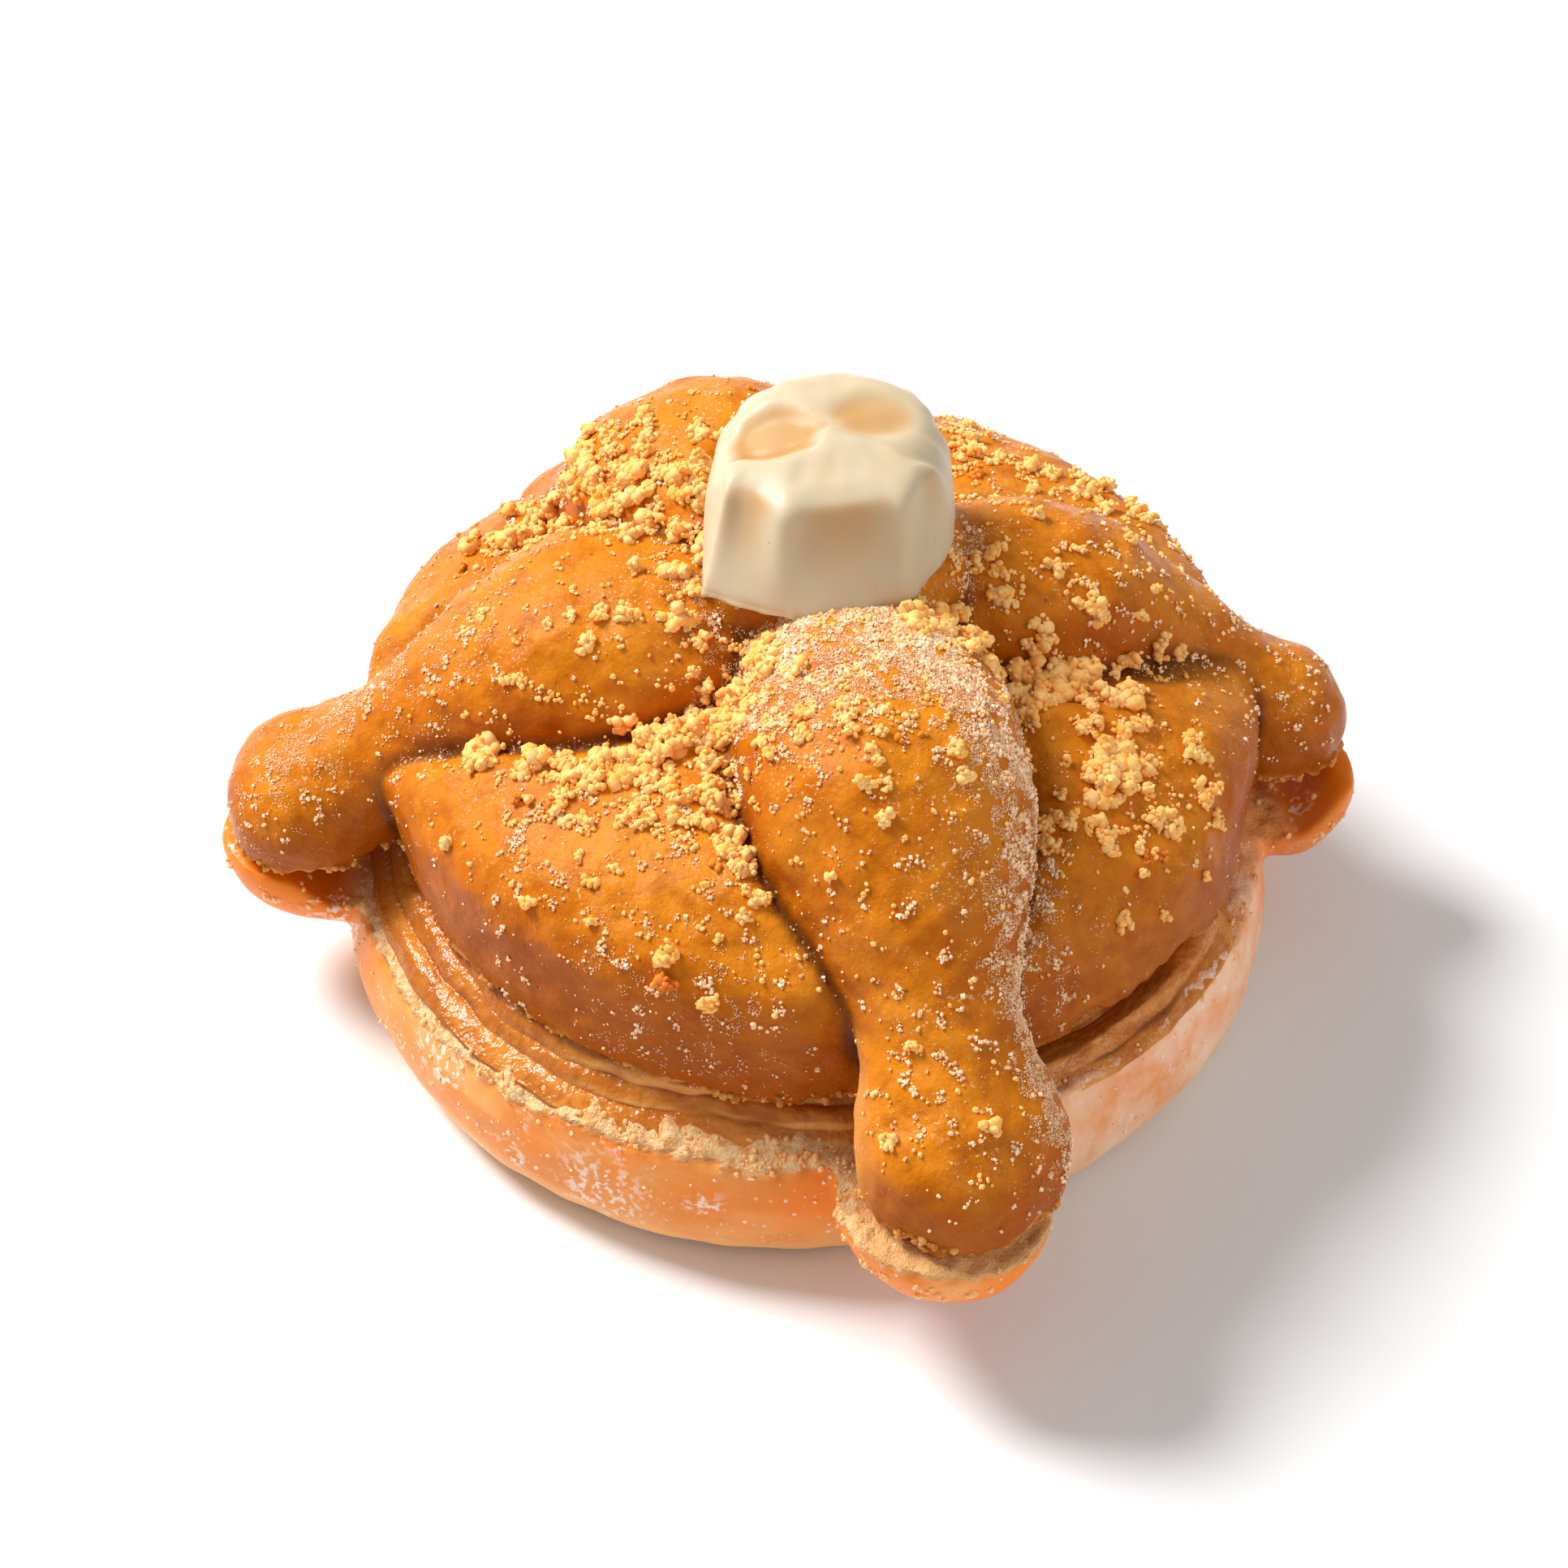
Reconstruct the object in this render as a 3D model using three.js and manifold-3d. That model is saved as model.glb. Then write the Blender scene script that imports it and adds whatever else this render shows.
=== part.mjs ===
// A filled pan de muerto: a sweet roll baked with four bone-shaped strands of dough that cross on top,
// split level with its widest part, filled with a thick cream and finished with cookie crumbs and a
// moulded white chocolate skull.
//
// Units are millimetres and +Z is up. The part stands on its flat base, with the origin under the middle
// of its outline. The front, where one bone hangs down over the cut, faces -Y.
//
// Four pieces that can be lifted apart, from the plate up:
//   bottom_half    lower half of the roll, with the lower halves of the four bone ends
//   cream_filling  the layer of cream, which runs right through between the halves
//   top_half       domed upper half, with the four bones baked onto it and the crumbs stuck to it
//   skull          white chocolate skull, lying on its back where the bones cross
import * as THREE from "three";
import { mergeVertices } from "three/addons/utils/BufferGeometryUtils.js";
import Module from "manifold-3d";

const wasm = await Module();
wasm.setup();

// ---- Driving dimensions ------------------------------------------------------------------------------

const CLEARANCE = 0.3; // gap between two pieces that touch

const BASE_CENTRE = new THREE.Vector2(-1.5, 2);
const BASE_RADIUS = 54.5; // lower half at its widest
const CUT_HEIGHT = 18.5; // cut face of the lower half, at its middle
const CREAM_DEPTH = 4.6;
const CREAM_RADIUS = 51;

const LID_CENTRE = new THREE.Vector2(0.5, 3);
const LID_RADIUS = 50.5; // domed upper half at its widest
const LID_CUT = CUT_HEIGHT + CREAM_DEPTH; // its cut face
const LID_WIDEST = LID_CUT + 10; // height of its widest ring
const DOME_TOP = 51; // top of the dough under the bones

const SKULL_WIDTH = 27.5; // across the cheeks
const SKULL_LENGTH = 28; // from crown to chin
const SKULL_DEPTH = 13.5;
const SKULL_SEAT = 61; // height of the flat that the skull is pressed onto
const SKULL_PLACE = new THREE.Vector2(1, 6.4);
const MOUND_RADIUS = 16; // dough that swells up where the bones cross, under the skull

// The bones cross here. Each is named for where it points. Its upper and its lower half have a direction,
// in degrees round from +X, and a reach. Its middle is bowed sideways. The swell, the neck and the knob are
// half its width there, and start is how high its middle line lies where it starts.
const CROSSING = new THREE.Vector2(1.5, 4.5);
const BONES = {
  left: { upper: [186, 71], lower: [185, 72], bow: 1, swell: 15.5, neck: 8, knob: 10, start: 46 },
  front: { upper: [283.5, 73.5], lower: [282, 75], bow: -1, swell: 16, neck: 9.2, knob: 11.6, start: 50 },
  right: { upper: [7.5, 61], lower: [4, 62.5], bow: 4, swell: 13.5, neck: 7, knob: 8.5, start: 44.5 },
  back: { upper: [126, 60], lower: [124, 62], bow: 1, swell: 17, neck: 9, knob: 10, start: 51.5 },
};
const LOWER_BONE_DEPTH = 9; // how far the lower halves of the bone ends reach below the cut

// The loaf isn't quite round: direction, and what the lower half, the upper half and its height gain there.
const SWELLINGS = [
  { angle: 310, base: -1.6, out: 0, up: 0 },
  { angle: 68, base: 0, out: 1, up: 1 },
  { angle: 163, base: 0, out: 5, up: -1.5 },
];

// Clumps of cookie crumb lie thickest in the valleys between the bones: direction of each valley, how far it
// reaches from the crossing, how wide it is strewn and how many clumps lie in it.
const VALLEYS = [
  { angle: 228, from: 18, to: 44, spread: 9, count: 34 },
  { angle: 338, from: 18, to: 44, spread: 9, count: 34 },
  { angle: 68, from: 17, to: 42, spread: 10, count: 22 },
  { angle: 153, from: 16, to: 42, spread: 9, count: 26 },
];
const CRUMB_SIZES = [1.1, 2.1]; // radius of the smallest and the largest clump
const CRUMB_SEED = 11;

// How finely the round shapes are cut.
const LOAF_SIDES = 54;
const CREAM_SIDES = 50;
const BONE_SIDES = 20;
const SKULL_SIDES = 44;

// ---- Small helpers -----------------------------------------------------------------------------------

const smooth = THREE.MathUtils.smoothstep;

// A geometry as a solid, with shared vertices merged and triangles without area left out.
function solidOf(geometry) {
  const bare = new THREE.BufferGeometry().setAttribute("position", geometry.getAttribute("position"));
  bare.setIndex(geometry.index);
  const merged = mergeVertices(bare, 1e-4);
  const corners = merged.index.array;
  const kept = [];
  for (let i = 0; i < corners.length; i += 3) {
    const [a, b, c] = [corners[i], corners[i + 1], corners[i + 2]];
    if (a !== b && b !== c && a !== c) kept.push(a, b, c);
  }
  const vertProperties = new Float32Array(merged.attributes.position.array);
  return new wasm.Manifold(new wasm.Mesh({ numProp: 3, vertProperties, triVerts: new Uint32Array(kept) }));
}

function geometryOf(solid) {
  const mesh = solid.getMesh();
  const geometry = new THREE.BufferGeometry();
  geometry.setAttribute("position", new THREE.BufferAttribute(new Float32Array(mesh.vertProperties), 3));
  geometry.setIndex(new THREE.BufferAttribute(new Uint32Array(mesh.triVerts), 1));
  geometry.computeVertexNormals();
  return geometry;
}

// The largest body of a solid, without the loose scraps that a cut leaves.
function largestOf(solid) {
  const bodies = solid.decompose();
  bodies.sort((first, second) => second.volume() - first.volume());
  return bodies[0];
}

// Moves every vertex of a geometry to where the function puts it.
function reshape(geometry, move) {
  const position = geometry.getAttribute("position");
  const point = new THREE.Vector3();
  for (let i = 0; i < position.count; i++) {
    move(point.fromBufferAttribute(position, i));
    position.setXYZ(i, point.x, point.y, point.z);
  }
  return geometry;
}

// A profile of [radius, height] pairs turned round the Z axis.
function turned(profile, sides) {
  const points = profile.map(([radius, height]) => new THREE.Vector2(radius, height));
  return new THREE.LatheGeometry(points, sides).rotateX(Math.PI / 2);
}

// A gentle unevenness, between about -1 and 1, that repeats nowhere on the loaf.
function uneven(point, scale, seed) {
  const x = point.x / scale + seed;
  const y = point.y / scale - seed;
  const z = point.z / scale;
  return (Math.sin(x + 1.7 * Math.sin(y)) + Math.sin(1.3 * y + z) + Math.sin(1.9 * z - 0.8 * x)) / 3;
}

// Random numbers from 0 to 1 that come out the same each time.
function seeded(seed) {
  let state = seed;
  return () => {
    state = (Math.imul(state, 1664525) + 1013904223) >>> 0;
    return state / 4294967296;
  };
}

// How much of each swelling the loaf has in a direction.
function swelling(x, y, key) {
  const angle = THREE.MathUtils.radToDeg(Math.atan2(y, x));
  let amount = 0;
  for (const place of SWELLINGS) {
    const away = THREE.MathUtils.euclideanModulo(angle - place.angle + 180, 360) - 180;
    amount += place[key] * Math.exp(-((away / 26) ** 2));
  }
  return amount;
}

// ---- The strands of dough ----------------------------------------------------------------------------

// A strand is a sphere drawn out along a curve, with a half width and a half height at each share of it.
function strand(curve, halfWidth, halfHeight, rows, sides) {
  const length = curve.getLength();
  const up = new THREE.Vector3(0, 0, 1);
  return reshape(new THREE.SphereGeometry(1, sides, rows), (point) => {
    const share = THREE.MathUtils.clamp((1 - point.y) / 2, 0, 1);
    const round = Math.atan2(point.z, point.x);
    const width = halfWidth(share);
    const fromEnd = Math.min(share, 1 - share) * length;
    const ring = fromEnd < width ? Math.sqrt(Math.max(0, 1 - (1 - fromEnd / width) ** 2)) : 1;
    const along = curve.getTangentAt(share);
    const side = new THREE.Vector3().crossVectors(up, along).normalize();
    const over = new THREE.Vector3().crossVectors(along, side);
    point.copy(curve.getPointAt(share));
    point.addScaledVector(side, ring * width * Math.cos(round));
    point.addScaledVector(over, ring * halfHeight(share) * Math.sin(round));
  });
}

// Blends a list of [share, value] pairs smoothly.
function blend(pairs) {
  return (share) => {
    let [at, value] = pairs[0];
    for (const [nextAt, nextValue] of pairs.slice(1)) {
      if (share <= nextAt) return value + (nextValue - value) * smooth(share, at, nextAt);
      [at, value] = [nextAt, nextValue];
    }
    return value;
  };
}

// A curve out along a bone, through [share of the reach, height] pairs, bowed sideways half way out.
function boneCurve(bone, [direction, reach], pairs) {
  const angle = THREE.MathUtils.degToRad(direction);
  const points = pairs.map(([share, height]) => {
    const out = share * reach;
    const bow = bone.bow * Math.sin(Math.PI * THREE.MathUtils.clamp(share, 0, 1));
    const x = CROSSING.x + out * Math.cos(angle) - bow * Math.sin(angle);
    const y = CROSSING.y + out * Math.sin(angle) + bow * Math.cos(angle);
    return new THREE.Vector3(x, y, height);
  });
  return new THREE.CatmullRomCurve3(points, false, "centripetal");
}

function upperBone(bone) {
  const knobHeight = LID_CUT + 2.5;
  const curve = boneCurve(bone, bone.upper, [
    [-0.06, bone.start - 1],
    [0.2, bone.start + 1],
    [0.4, bone.start + 0.5],
    [0.57, THREE.MathUtils.lerp(bone.start, knobHeight, 0.25)],
    [0.7, THREE.MathUtils.lerp(bone.start, knobHeight, 0.55)],
    [0.84, THREE.MathUtils.lerp(bone.start, knobHeight, 0.9)],
    [1, knobHeight - 1],
  ]);
  const halfWidth = blend([
    [0, 10],
    [0.4, bone.swell],
    [0.72, bone.neck],
    [0.88, bone.knob],
    [1, bone.knob],
  ]);
  const halfHeight = blend([
    [0, 10],
    [0.4, 12],
    [0.72, 8],
    [0.88, 9],
    [1, 9],
  ]);
  return strand(curve, halfWidth, halfHeight, 19, BONE_SIDES);
}

function lowerBone(bone) {
  const curve = boneCurve(bone, bone.lower, [
    [0.6, CUT_HEIGHT],
    [1, CUT_HEIGHT],
  ]);
  const halfWidth = blend([
    [0, bone.neck],
    [0.6, bone.knob],
    [1, bone.knob],
  ]);
  return strand(curve, halfWidth, () => LOWER_BONE_DEPTH, 10, BONE_SIDES);
}

// ---- The cuts ----------------------------------------------------------------------------------------

const FAR = 95; // beyond the bread all round
const lidUnderside = (radius) => LID_CUT - 1.2 * smooth(radius, 50, 62);
const baseTop = (radius) => CUT_HEIGHT - 2 * smooth(radius, 48, 54);
const boneEndTop = (radius) => CUT_HEIGHT - 2 * smooth(radius, 48, 54) + 4 * smooth(radius, 56, 63);

// Everything below a surface of revolution, lifted by an amount, as a solid to cut with. Its rim is torn.
function below(surface, lift) {
  const rings = [FAR, 60, 55, 51, 47, 0];
  const profile = [[0, -40], [FAR, -40]];
  for (const radius of rings) profile.push([radius, surface(radius) + lift]);
  const geometry = turned(profile, CREAM_SIDES);
  reshape(geometry, (point) => {
    const radius = Math.hypot(point.x, point.y);
    if (point.z > -30 && radius > 20) point.z += 0.45 * uneven(point, 5, 2.1);
  });
  return solidOf(geometry);
}

const baseCut = below(baseTop, 0);
const boneEndCut = below(boneEndTop, 0);
const underLid = below(lidUnderside, 0);

// ---- Lower half --------------------------------------------------------------------------------------

function makeBottomHalf() {
  const profile = [
    [0, 0],
    [BASE_RADIUS - 6.5, 0],
    [BASE_RADIUS - 3.6, 0.8],
    [BASE_RADIUS - 1.2, 3.6],
    [BASE_RADIUS, 8.5],
    [BASE_RADIUS, 12],
    [BASE_RADIUS - 0.8, 17],
    [BASE_RADIUS - 3, 24],
    [0, 24],
  ];
  const round = turned(profile, LOAF_SIDES);
  reshape(round, (point) => {
    const radius = Math.hypot(point.x, point.y);
    const out = 0.7 * uneven(point, 24, 0.6) + swelling(point.x, point.y, "base");
    const swell = radius > 20 ? 1 + out / BASE_RADIUS : 1;
    point.set(point.x * swell + BASE_CENTRE.x, point.y * swell + BASE_CENTRE.y, point.z);
  });
  const ends = Object.values(BONES).map((bone) => solidOf(lowerBone(bone)));
  const knobs = wasm.Manifold.union(ends).intersect(boneEndCut);
  const floor = solidOf(new THREE.BoxGeometry(3 * FAR, 3 * FAR, 40).translate(0, 0, -20));
  return largestOf(solidOf(round).intersect(baseCut).add(knobs).subtract(floor));
}

// ---- Upper half --------------------------------------------------------------------------------------

function makeDome() {
  const steps = 13;
  const boxy = 2 / 2.35; // between a dome and a box
  const profile = [[0, LID_CUT - 8], [LID_RADIUS - 6, LID_CUT - 8], [LID_RADIUS - 3.2, LID_CUT]];
  profile.push([LID_RADIUS - 1.2, LID_CUT + 4]);
  for (let i = 0; i <= steps; i++) {
    const lift = (i / steps) * (Math.PI / 2);
    const radius = i === steps ? 0 : LID_RADIUS * Math.cos(lift) ** boxy;
    profile.push([radius, LID_WIDEST + (DOME_TOP - LID_WIDEST) * Math.sin(lift) ** boxy]);
  }
  return reshape(turned(profile, LOAF_SIDES), (point) => {
    const radius = Math.hypot(point.x, point.y);
    const wide = smooth(point.z, LID_CUT, LID_WIDEST + 8);
    const high = smooth(radius, 8, 30) * smooth(point.z, LID_CUT + 2, LID_WIDEST + 6);
    const out = 0.7 * uneven(point, 17, 4.4) + wide * swelling(point.x, point.y, "out");
    const lift = 0.4 * uneven(point, 13, 1.2) + high * swelling(point.x, point.y, "up");
    const swell = 1 + out / LID_RADIUS;
    point.set(point.x * swell + LID_CENTRE.x, point.y * swell + LID_CENTRE.y, point.z + lift);
  });
}

// One clump of crumb: a ball with uneven corners, squashed a little onto what it lies on.
function crumb(place, radius, random) {
  const corners = new THREE.IcosahedronGeometry(1, 0).deleteAttribute("normal").deleteAttribute("uv");
  const ball = mergeVertices(corners);
  const turn = new THREE.Euler(6 * random(), 6 * random(), 6 * random());
  reshape(ball, (point) => {
    point.applyEuler(turn).multiplyScalar(radius * (0.75 + 0.5 * random()));
    point.set(point.x + place.x, point.y + place.y, 0.85 * point.z + place.z);
  });
  return solidOf(ball);
}

// Crumbs lie where a line straight down meets the dough, clear of the skull.
function crumbsOn(dough) {
  const random = seeded(CRUMB_SEED);
  const surface = new THREE.Mesh(geometryOf(dough), new THREE.MeshBasicMaterial());
  const ray = new THREE.Raycaster();
  const down = new THREE.Vector3(0, 0, -1);
  const clearOfSkull = 0.5 * Math.max(SKULL_WIDTH, SKULL_LENGTH) + CRUMB_SIZES[1] + 1.5;
  const crumbs = [];
  for (const valley of VALLEYS) {
    const angle = THREE.MathUtils.degToRad(valley.angle);
    for (let i = 0; i < valley.count; i++) {
      const out = THREE.MathUtils.lerp(valley.from, valley.to, random());
      const aside = valley.spread * (random() + random() - 1);
      const radius = THREE.MathUtils.lerp(...CRUMB_SIZES, random() ** 2);
      const x = CROSSING.x + out * Math.cos(angle) - aside * Math.sin(angle);
      const y = CROSSING.y + out * Math.sin(angle) + aside * Math.cos(angle);
      if (Math.hypot(x - SKULL_PLACE.x, y - SKULL_PLACE.y) < clearOfSkull) continue;
      ray.set(new THREE.Vector3(x, y, 200), down);
      const [hit] = ray.intersectObject(surface);
      if (hit) crumbs.push(crumb(hit.point, radius, random));
    }
  }
  return crumbs;
}

function makeTopHalf() {
  const bones = Object.values(BONES).map((bone) => solidOf(upperBone(bone)));
  const mound = new THREE.SphereGeometry(MOUND_RADIUS, 28, 12).rotateX(Math.PI / 2).scale(1, 1, 0.6);
  mound.translate(SKULL_PLACE.x, SKULL_PLACE.y, SKULL_SEAT - 0.4 * MOUND_RADIUS);
  const dough = wasm.Manifold.union([solidOf(makeDome()), solidOf(mound), ...bones]);
  const seatRadius = 0.54 * SKULL_LENGTH;
  const seat = new THREE.CylinderGeometry(seatRadius, seatRadius, 40, 36).rotateX(Math.PI / 2);
  seat.translate(SKULL_PLACE.x, SKULL_PLACE.y, SKULL_SEAT - CLEARANCE + 20);
  const cut = dough.subtract(underLid).subtract(solidOf(seat));
  return largestOf(wasm.Manifold.union([cut, ...crumbsOn(cut)]));
}

// ---- Cream -------------------------------------------------------------------------------------------

// The cream's edge bulges out in soft folds that run round the loaf.
function makeCream() {
  const foot = CUT_HEIGHT - 3;
  const profile = [
    [0, foot],
    [CREAM_RADIUS - 2, foot],
    [CREAM_RADIUS, CUT_HEIGHT],
    [CREAM_RADIUS + 0.3, CUT_HEIGHT + 0.9],
    [CREAM_RADIUS - 0.8, CUT_HEIGHT + 1.9],
    [CREAM_RADIUS - 1.9, CUT_HEIGHT + 2.1],
    [CREAM_RADIUS - 2.2, CUT_HEIGHT + 3],
    [CREAM_RADIUS - 3.4, CUT_HEIGHT + 3.8],
    [CREAM_RADIUS - 5, CUT_HEIGHT + 4],
    [CREAM_RADIUS - 8, CUT_HEIGHT + 8],
    [0, CUT_HEIGHT + 8],
  ];
  const geometry = reshape(turned(profile, CREAM_SIDES), (point) => {
    const radius = Math.hypot(point.x, point.y);
    const out = 1.1 * uneven(point, 9, 3.3) + swelling(point.x, point.y, "base");
    const swell = radius > 20 ? 1 + out / radius : 1;
    point.set(point.x * swell + BASE_CENTRE.x, point.y * swell + BASE_CENTRE.y, point.z);
  });
  const cream = solidOf(geometry).subtract(below(baseTop, CLEARANCE));
  return largestOf(cream.intersect(below(lidUnderside, -CLEARANCE)));
}

// ---- Skull -------------------------------------------------------------------------------------------

// Hollows in the face, as seen from above with the crown up: middle, half width, half length, turn in
// degrees and depth. The eye sockets come first, then the nose, the brow and the cheek.
const FACE_HOLLOWS = [
  { x: -6, y: 1.8, wide: 4.6, long: 3.9, turn: 18, deep: 2 },
  { x: 4.6, y: 4.4, wide: 5, long: 3.7, turn: 12, deep: 1.8 },
  { x: -2, y: -0.6, wide: 1.2, long: 0.9, turn: 20, deep: 0.5 },
  { x: -3, y: -5.2, wide: 1.2, long: 1.4, turn: 0, deep: 0.5 },
  { x: 0.4, y: -4.6, wide: 1.2, long: 1.5, turn: 0, deep: 0.5 },
  { x: -0.4, y: 9, wide: 3, long: 2, turn: 0, deep: 0.5 },
  { x: -8.6, y: -7.4, wide: 2.3, long: 2.2, turn: 0, deep: 1.6 },
];

// Flutes that run down the front wall under the face: place across it, half width and depth.
const WALL_FLUTES = [
  { x: -9.8, wide: 1.9, deep: 1.6 },
  { x: 1.8, wide: 5.2, deep: 2.6 },
  { x: 10.6, wide: 1.5, deep: 1.4 },
];

function faceHollow(x, y) {
  let drop = 0;
  for (const hollow of FACE_HOLLOWS) {
    const turn = THREE.MathUtils.degToRad(hollow.turn);
    const across = ((x - hollow.x) * Math.cos(turn) + (y - hollow.y) * Math.sin(turn)) / hollow.wide;
    const along = ((y - hollow.y) * Math.cos(turn) - (x - hollow.x) * Math.sin(turn)) / hollow.long;
    const inside = Math.max(0, 1 - across ** 2 - along ** 2);
    drop += hollow.deep * smooth(inside, 0, 1);
  }
  return drop;
}

// The skull starts as a drum of [share of the radius, share of the height] with a rounded upper edge. It gets
// squarer and narrower towards the jaw, its front wall leans back and is fluted, and its crown is lower.
function makeSkull() {
  const wall = [[0.5, 0], [1, 0], [1, 0.12], [0.995, 0.3], [0.985, 0.48], [0.97, 0.64], [0.93, 0.78]];
  const face = [[0.86, 0.89], [0.77, 0.95], [0.67, 0.98], [0.56, 0.995], [0.45, 1], [0.3, 1], [0.15, 1]];
  const drum = turned([[0, 0], ...wall, ...face, [0, 1]], SKULL_SIDES);
  return reshape(drum, (point) => {
    const share = Math.hypot(point.x, point.y);
    const angle = Math.atan2(point.y, point.x);
    const height = point.z;
    const square = 2 / (point.y < 0 ? 3.2 : 2.15);
    let x = Math.sign(point.x) * share * Math.abs(Math.cos(angle)) ** square;
    let y = Math.sign(point.y) * share * Math.abs(Math.sin(angle)) ** square;
    const jaw = smooth(-y, -0.1, 0.95);
    x = (x * SKULL_WIDTH * (1 - 0.17 * jaw)) / 2 - 2.2 * jaw;
    y = (y * SKULL_LENGTH) / 2;

    const front = smooth(-y, 2, 12);
    const onWall = front * smooth(share, 0.6, 0.95) * smooth(height, 0.1, 0.75);
    for (const flute of WALL_FLUTES) {
      y += onWall * flute.deep * Math.exp(-(((x - flute.x) / flute.wide) ** 2));
    }
    y += 4.4 * front * height;
    x *= 1 - 0.07 * height * front;

    const crown = smooth(y, 4, 14) * smooth(share, 0.4, 1);
    const onFace = smooth(height, 0.7, 0.95);
    point.set(x, y, height * (SKULL_DEPTH - 2.2 * crown) - onFace * faceHollow(x, y));
  });
}

// ---- The part ----------------------------------------------------------------------------------------

const COLOURS = {
  bottom_half: "#e2955c",
  cream_filling: "#b98145",
  top_half: "#cd8436",
  skull: "#efe3cb",
};

const part = new THREE.Group();
function place(name, solid, roughness) {
  const material = new THREE.MeshStandardMaterial({ color: COLOURS[name], roughness, metalness: 0 });
  const mesh = new THREE.Mesh(geometryOf(solid), material);
  mesh.name = name;
  part.add(mesh);
  return mesh;
}

place("bottom_half", makeBottomHalf(), 0.6);
place("cream_filling", makeCream(), 0.3);
place("top_half", makeTopHalf(), 0.45);
const skull = place("skull", solidOf(makeSkull()), 0.4);
skull.position.set(SKULL_PLACE.x, SKULL_PLACE.y, SKULL_SEAT);

// The origin goes under the middle of the outline.
const middle = new THREE.Box3().setFromObject(part).getCenter(new THREE.Vector3());
part.position.set(-middle.x, -middle.y, 0);

export default part;
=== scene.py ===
# %% [markdown]
# # A filled pan de muerto
#
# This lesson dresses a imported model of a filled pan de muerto: a sweet roll with four bone-shaped strands
# of dough that cross on top, split and filled with cream, and finished with cookie crumbs, sugar and a
# moulded white chocolate skull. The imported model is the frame. It gives the true sizes, and every piece
# made here sits in it. Lengths below are in millimetres wherever they are multiplied by MM.

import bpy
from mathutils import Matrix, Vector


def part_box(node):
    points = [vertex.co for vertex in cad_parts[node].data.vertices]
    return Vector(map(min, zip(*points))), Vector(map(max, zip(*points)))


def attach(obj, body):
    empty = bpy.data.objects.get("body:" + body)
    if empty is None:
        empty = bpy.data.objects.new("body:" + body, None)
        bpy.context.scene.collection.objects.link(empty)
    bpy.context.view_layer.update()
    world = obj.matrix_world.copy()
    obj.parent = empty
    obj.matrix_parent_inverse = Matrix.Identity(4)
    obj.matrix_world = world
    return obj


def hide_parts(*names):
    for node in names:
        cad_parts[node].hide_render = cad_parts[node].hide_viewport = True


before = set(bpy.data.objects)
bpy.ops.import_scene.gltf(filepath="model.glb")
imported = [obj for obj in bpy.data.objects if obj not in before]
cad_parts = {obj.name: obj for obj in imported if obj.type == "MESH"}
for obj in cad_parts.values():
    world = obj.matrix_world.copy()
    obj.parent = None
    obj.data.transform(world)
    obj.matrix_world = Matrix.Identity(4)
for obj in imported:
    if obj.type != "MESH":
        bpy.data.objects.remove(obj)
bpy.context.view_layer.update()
print("solids:", sorted(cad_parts))

# %% [markdown]
# The lesson models with bmesh, moves many points at once with numpy, and takes its noise from mathutils.

# %% The tools of the lesson
import math

import bmesh
import bpy
import numpy as np
from mathutils import Vector, noise

MM = 0.001
scene = bpy.context.scene

# %% [markdown]
# ## The camera
#
# The photo looks down on the roll at about 44 degrees from a little under half a metre, so nearer parts
# look larger. The aim is a point just off the roll's middle, which puts the roll where it stands in the
# picture.

# %% Camera
LOAF_MIDDLE = Vector((3.19, 5.91, 0)) * MM
ELEVATION = math.radians(44)
CAMERA_DISTANCE = 480 * MM
LENS = 93.9
LOOK_AT = LOAF_MIDDLE + Vector((0, 0, 23)) * MM
AIM_ASIDE = -4.19
AIM_UP = 2.57

backwards = Vector((0, -math.cos(ELEVATION), math.sin(ELEVATION)))
upwards = Vector((0, math.sin(ELEVATION), math.cos(ELEVATION)))
eye = LOOK_AT + CAMERA_DISTANCE * backwards
aim = LOOK_AT + Vector((AIM_ASIDE, 0, 0)) * MM + AIM_UP * MM * upwards

camera = bpy.data.objects.new("camera", bpy.data.cameras.new("camera"))
camera.data.lens = LENS
camera.data.sensor_width = 36
camera.data.clip_start = 0.01
camera.location = eye
camera.rotation_euler = (aim - eye).to_track_quat("-Z", "Y").to_euler()
scene.collection.objects.link(camera)
scene.camera = camera
print("camera at", [round(c, 3) for c in eye])

# %% [markdown]
# ## Floor and light
#
# A wide pale floor throws light up onto the lower half. A soft lamp high on the left, behind the roll,
# gives it its shape. A weaker and wider one at the right front keeps that side from going dull, and an even
# white sky fills the shadows.

# %% Floor and light
KEY_PLACE = (-0.52, 0.26, 0.7)
SIDE_PLACE = (0.7, -0.45, 0.4)
SKY_STRENGTH = 0.44


def pale_floor():
    bm = bmesh.new()
    bmesh.ops.create_grid(bm, x_segments=1, y_segments=1, size=3)
    mesh = bpy.data.meshes.new("floor")
    bm.to_mesh(mesh)
    bm.free()
    floor = bpy.data.objects.new("floor", mesh)
    scene.collection.objects.link(floor)
    paint = bpy.data.materials.new("floor_paint")
    paint.use_nodes = True
    shader = paint.node_tree.nodes["Principled BSDF"]
    shader.inputs["Base Color"].default_value = (0.86, 0.86, 0.86, 1)
    shader.inputs["Roughness"].default_value = 0.9
    shader.inputs["Specular IOR Level"].default_value = 0.1
    mesh.materials.append(paint)


def soft_lamp(name, place, size, power):
    lamp = bpy.data.lights.new(name, "AREA")
    lamp.shape = "DISK"
    lamp.size = size
    lamp.energy = power
    holder = bpy.data.objects.new(name, lamp)
    holder.location = place
    holder.rotation_euler = (LOOK_AT - Vector(place)).to_track_quat("-Z", "Y").to_euler()
    scene.collection.objects.link(holder)


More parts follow.
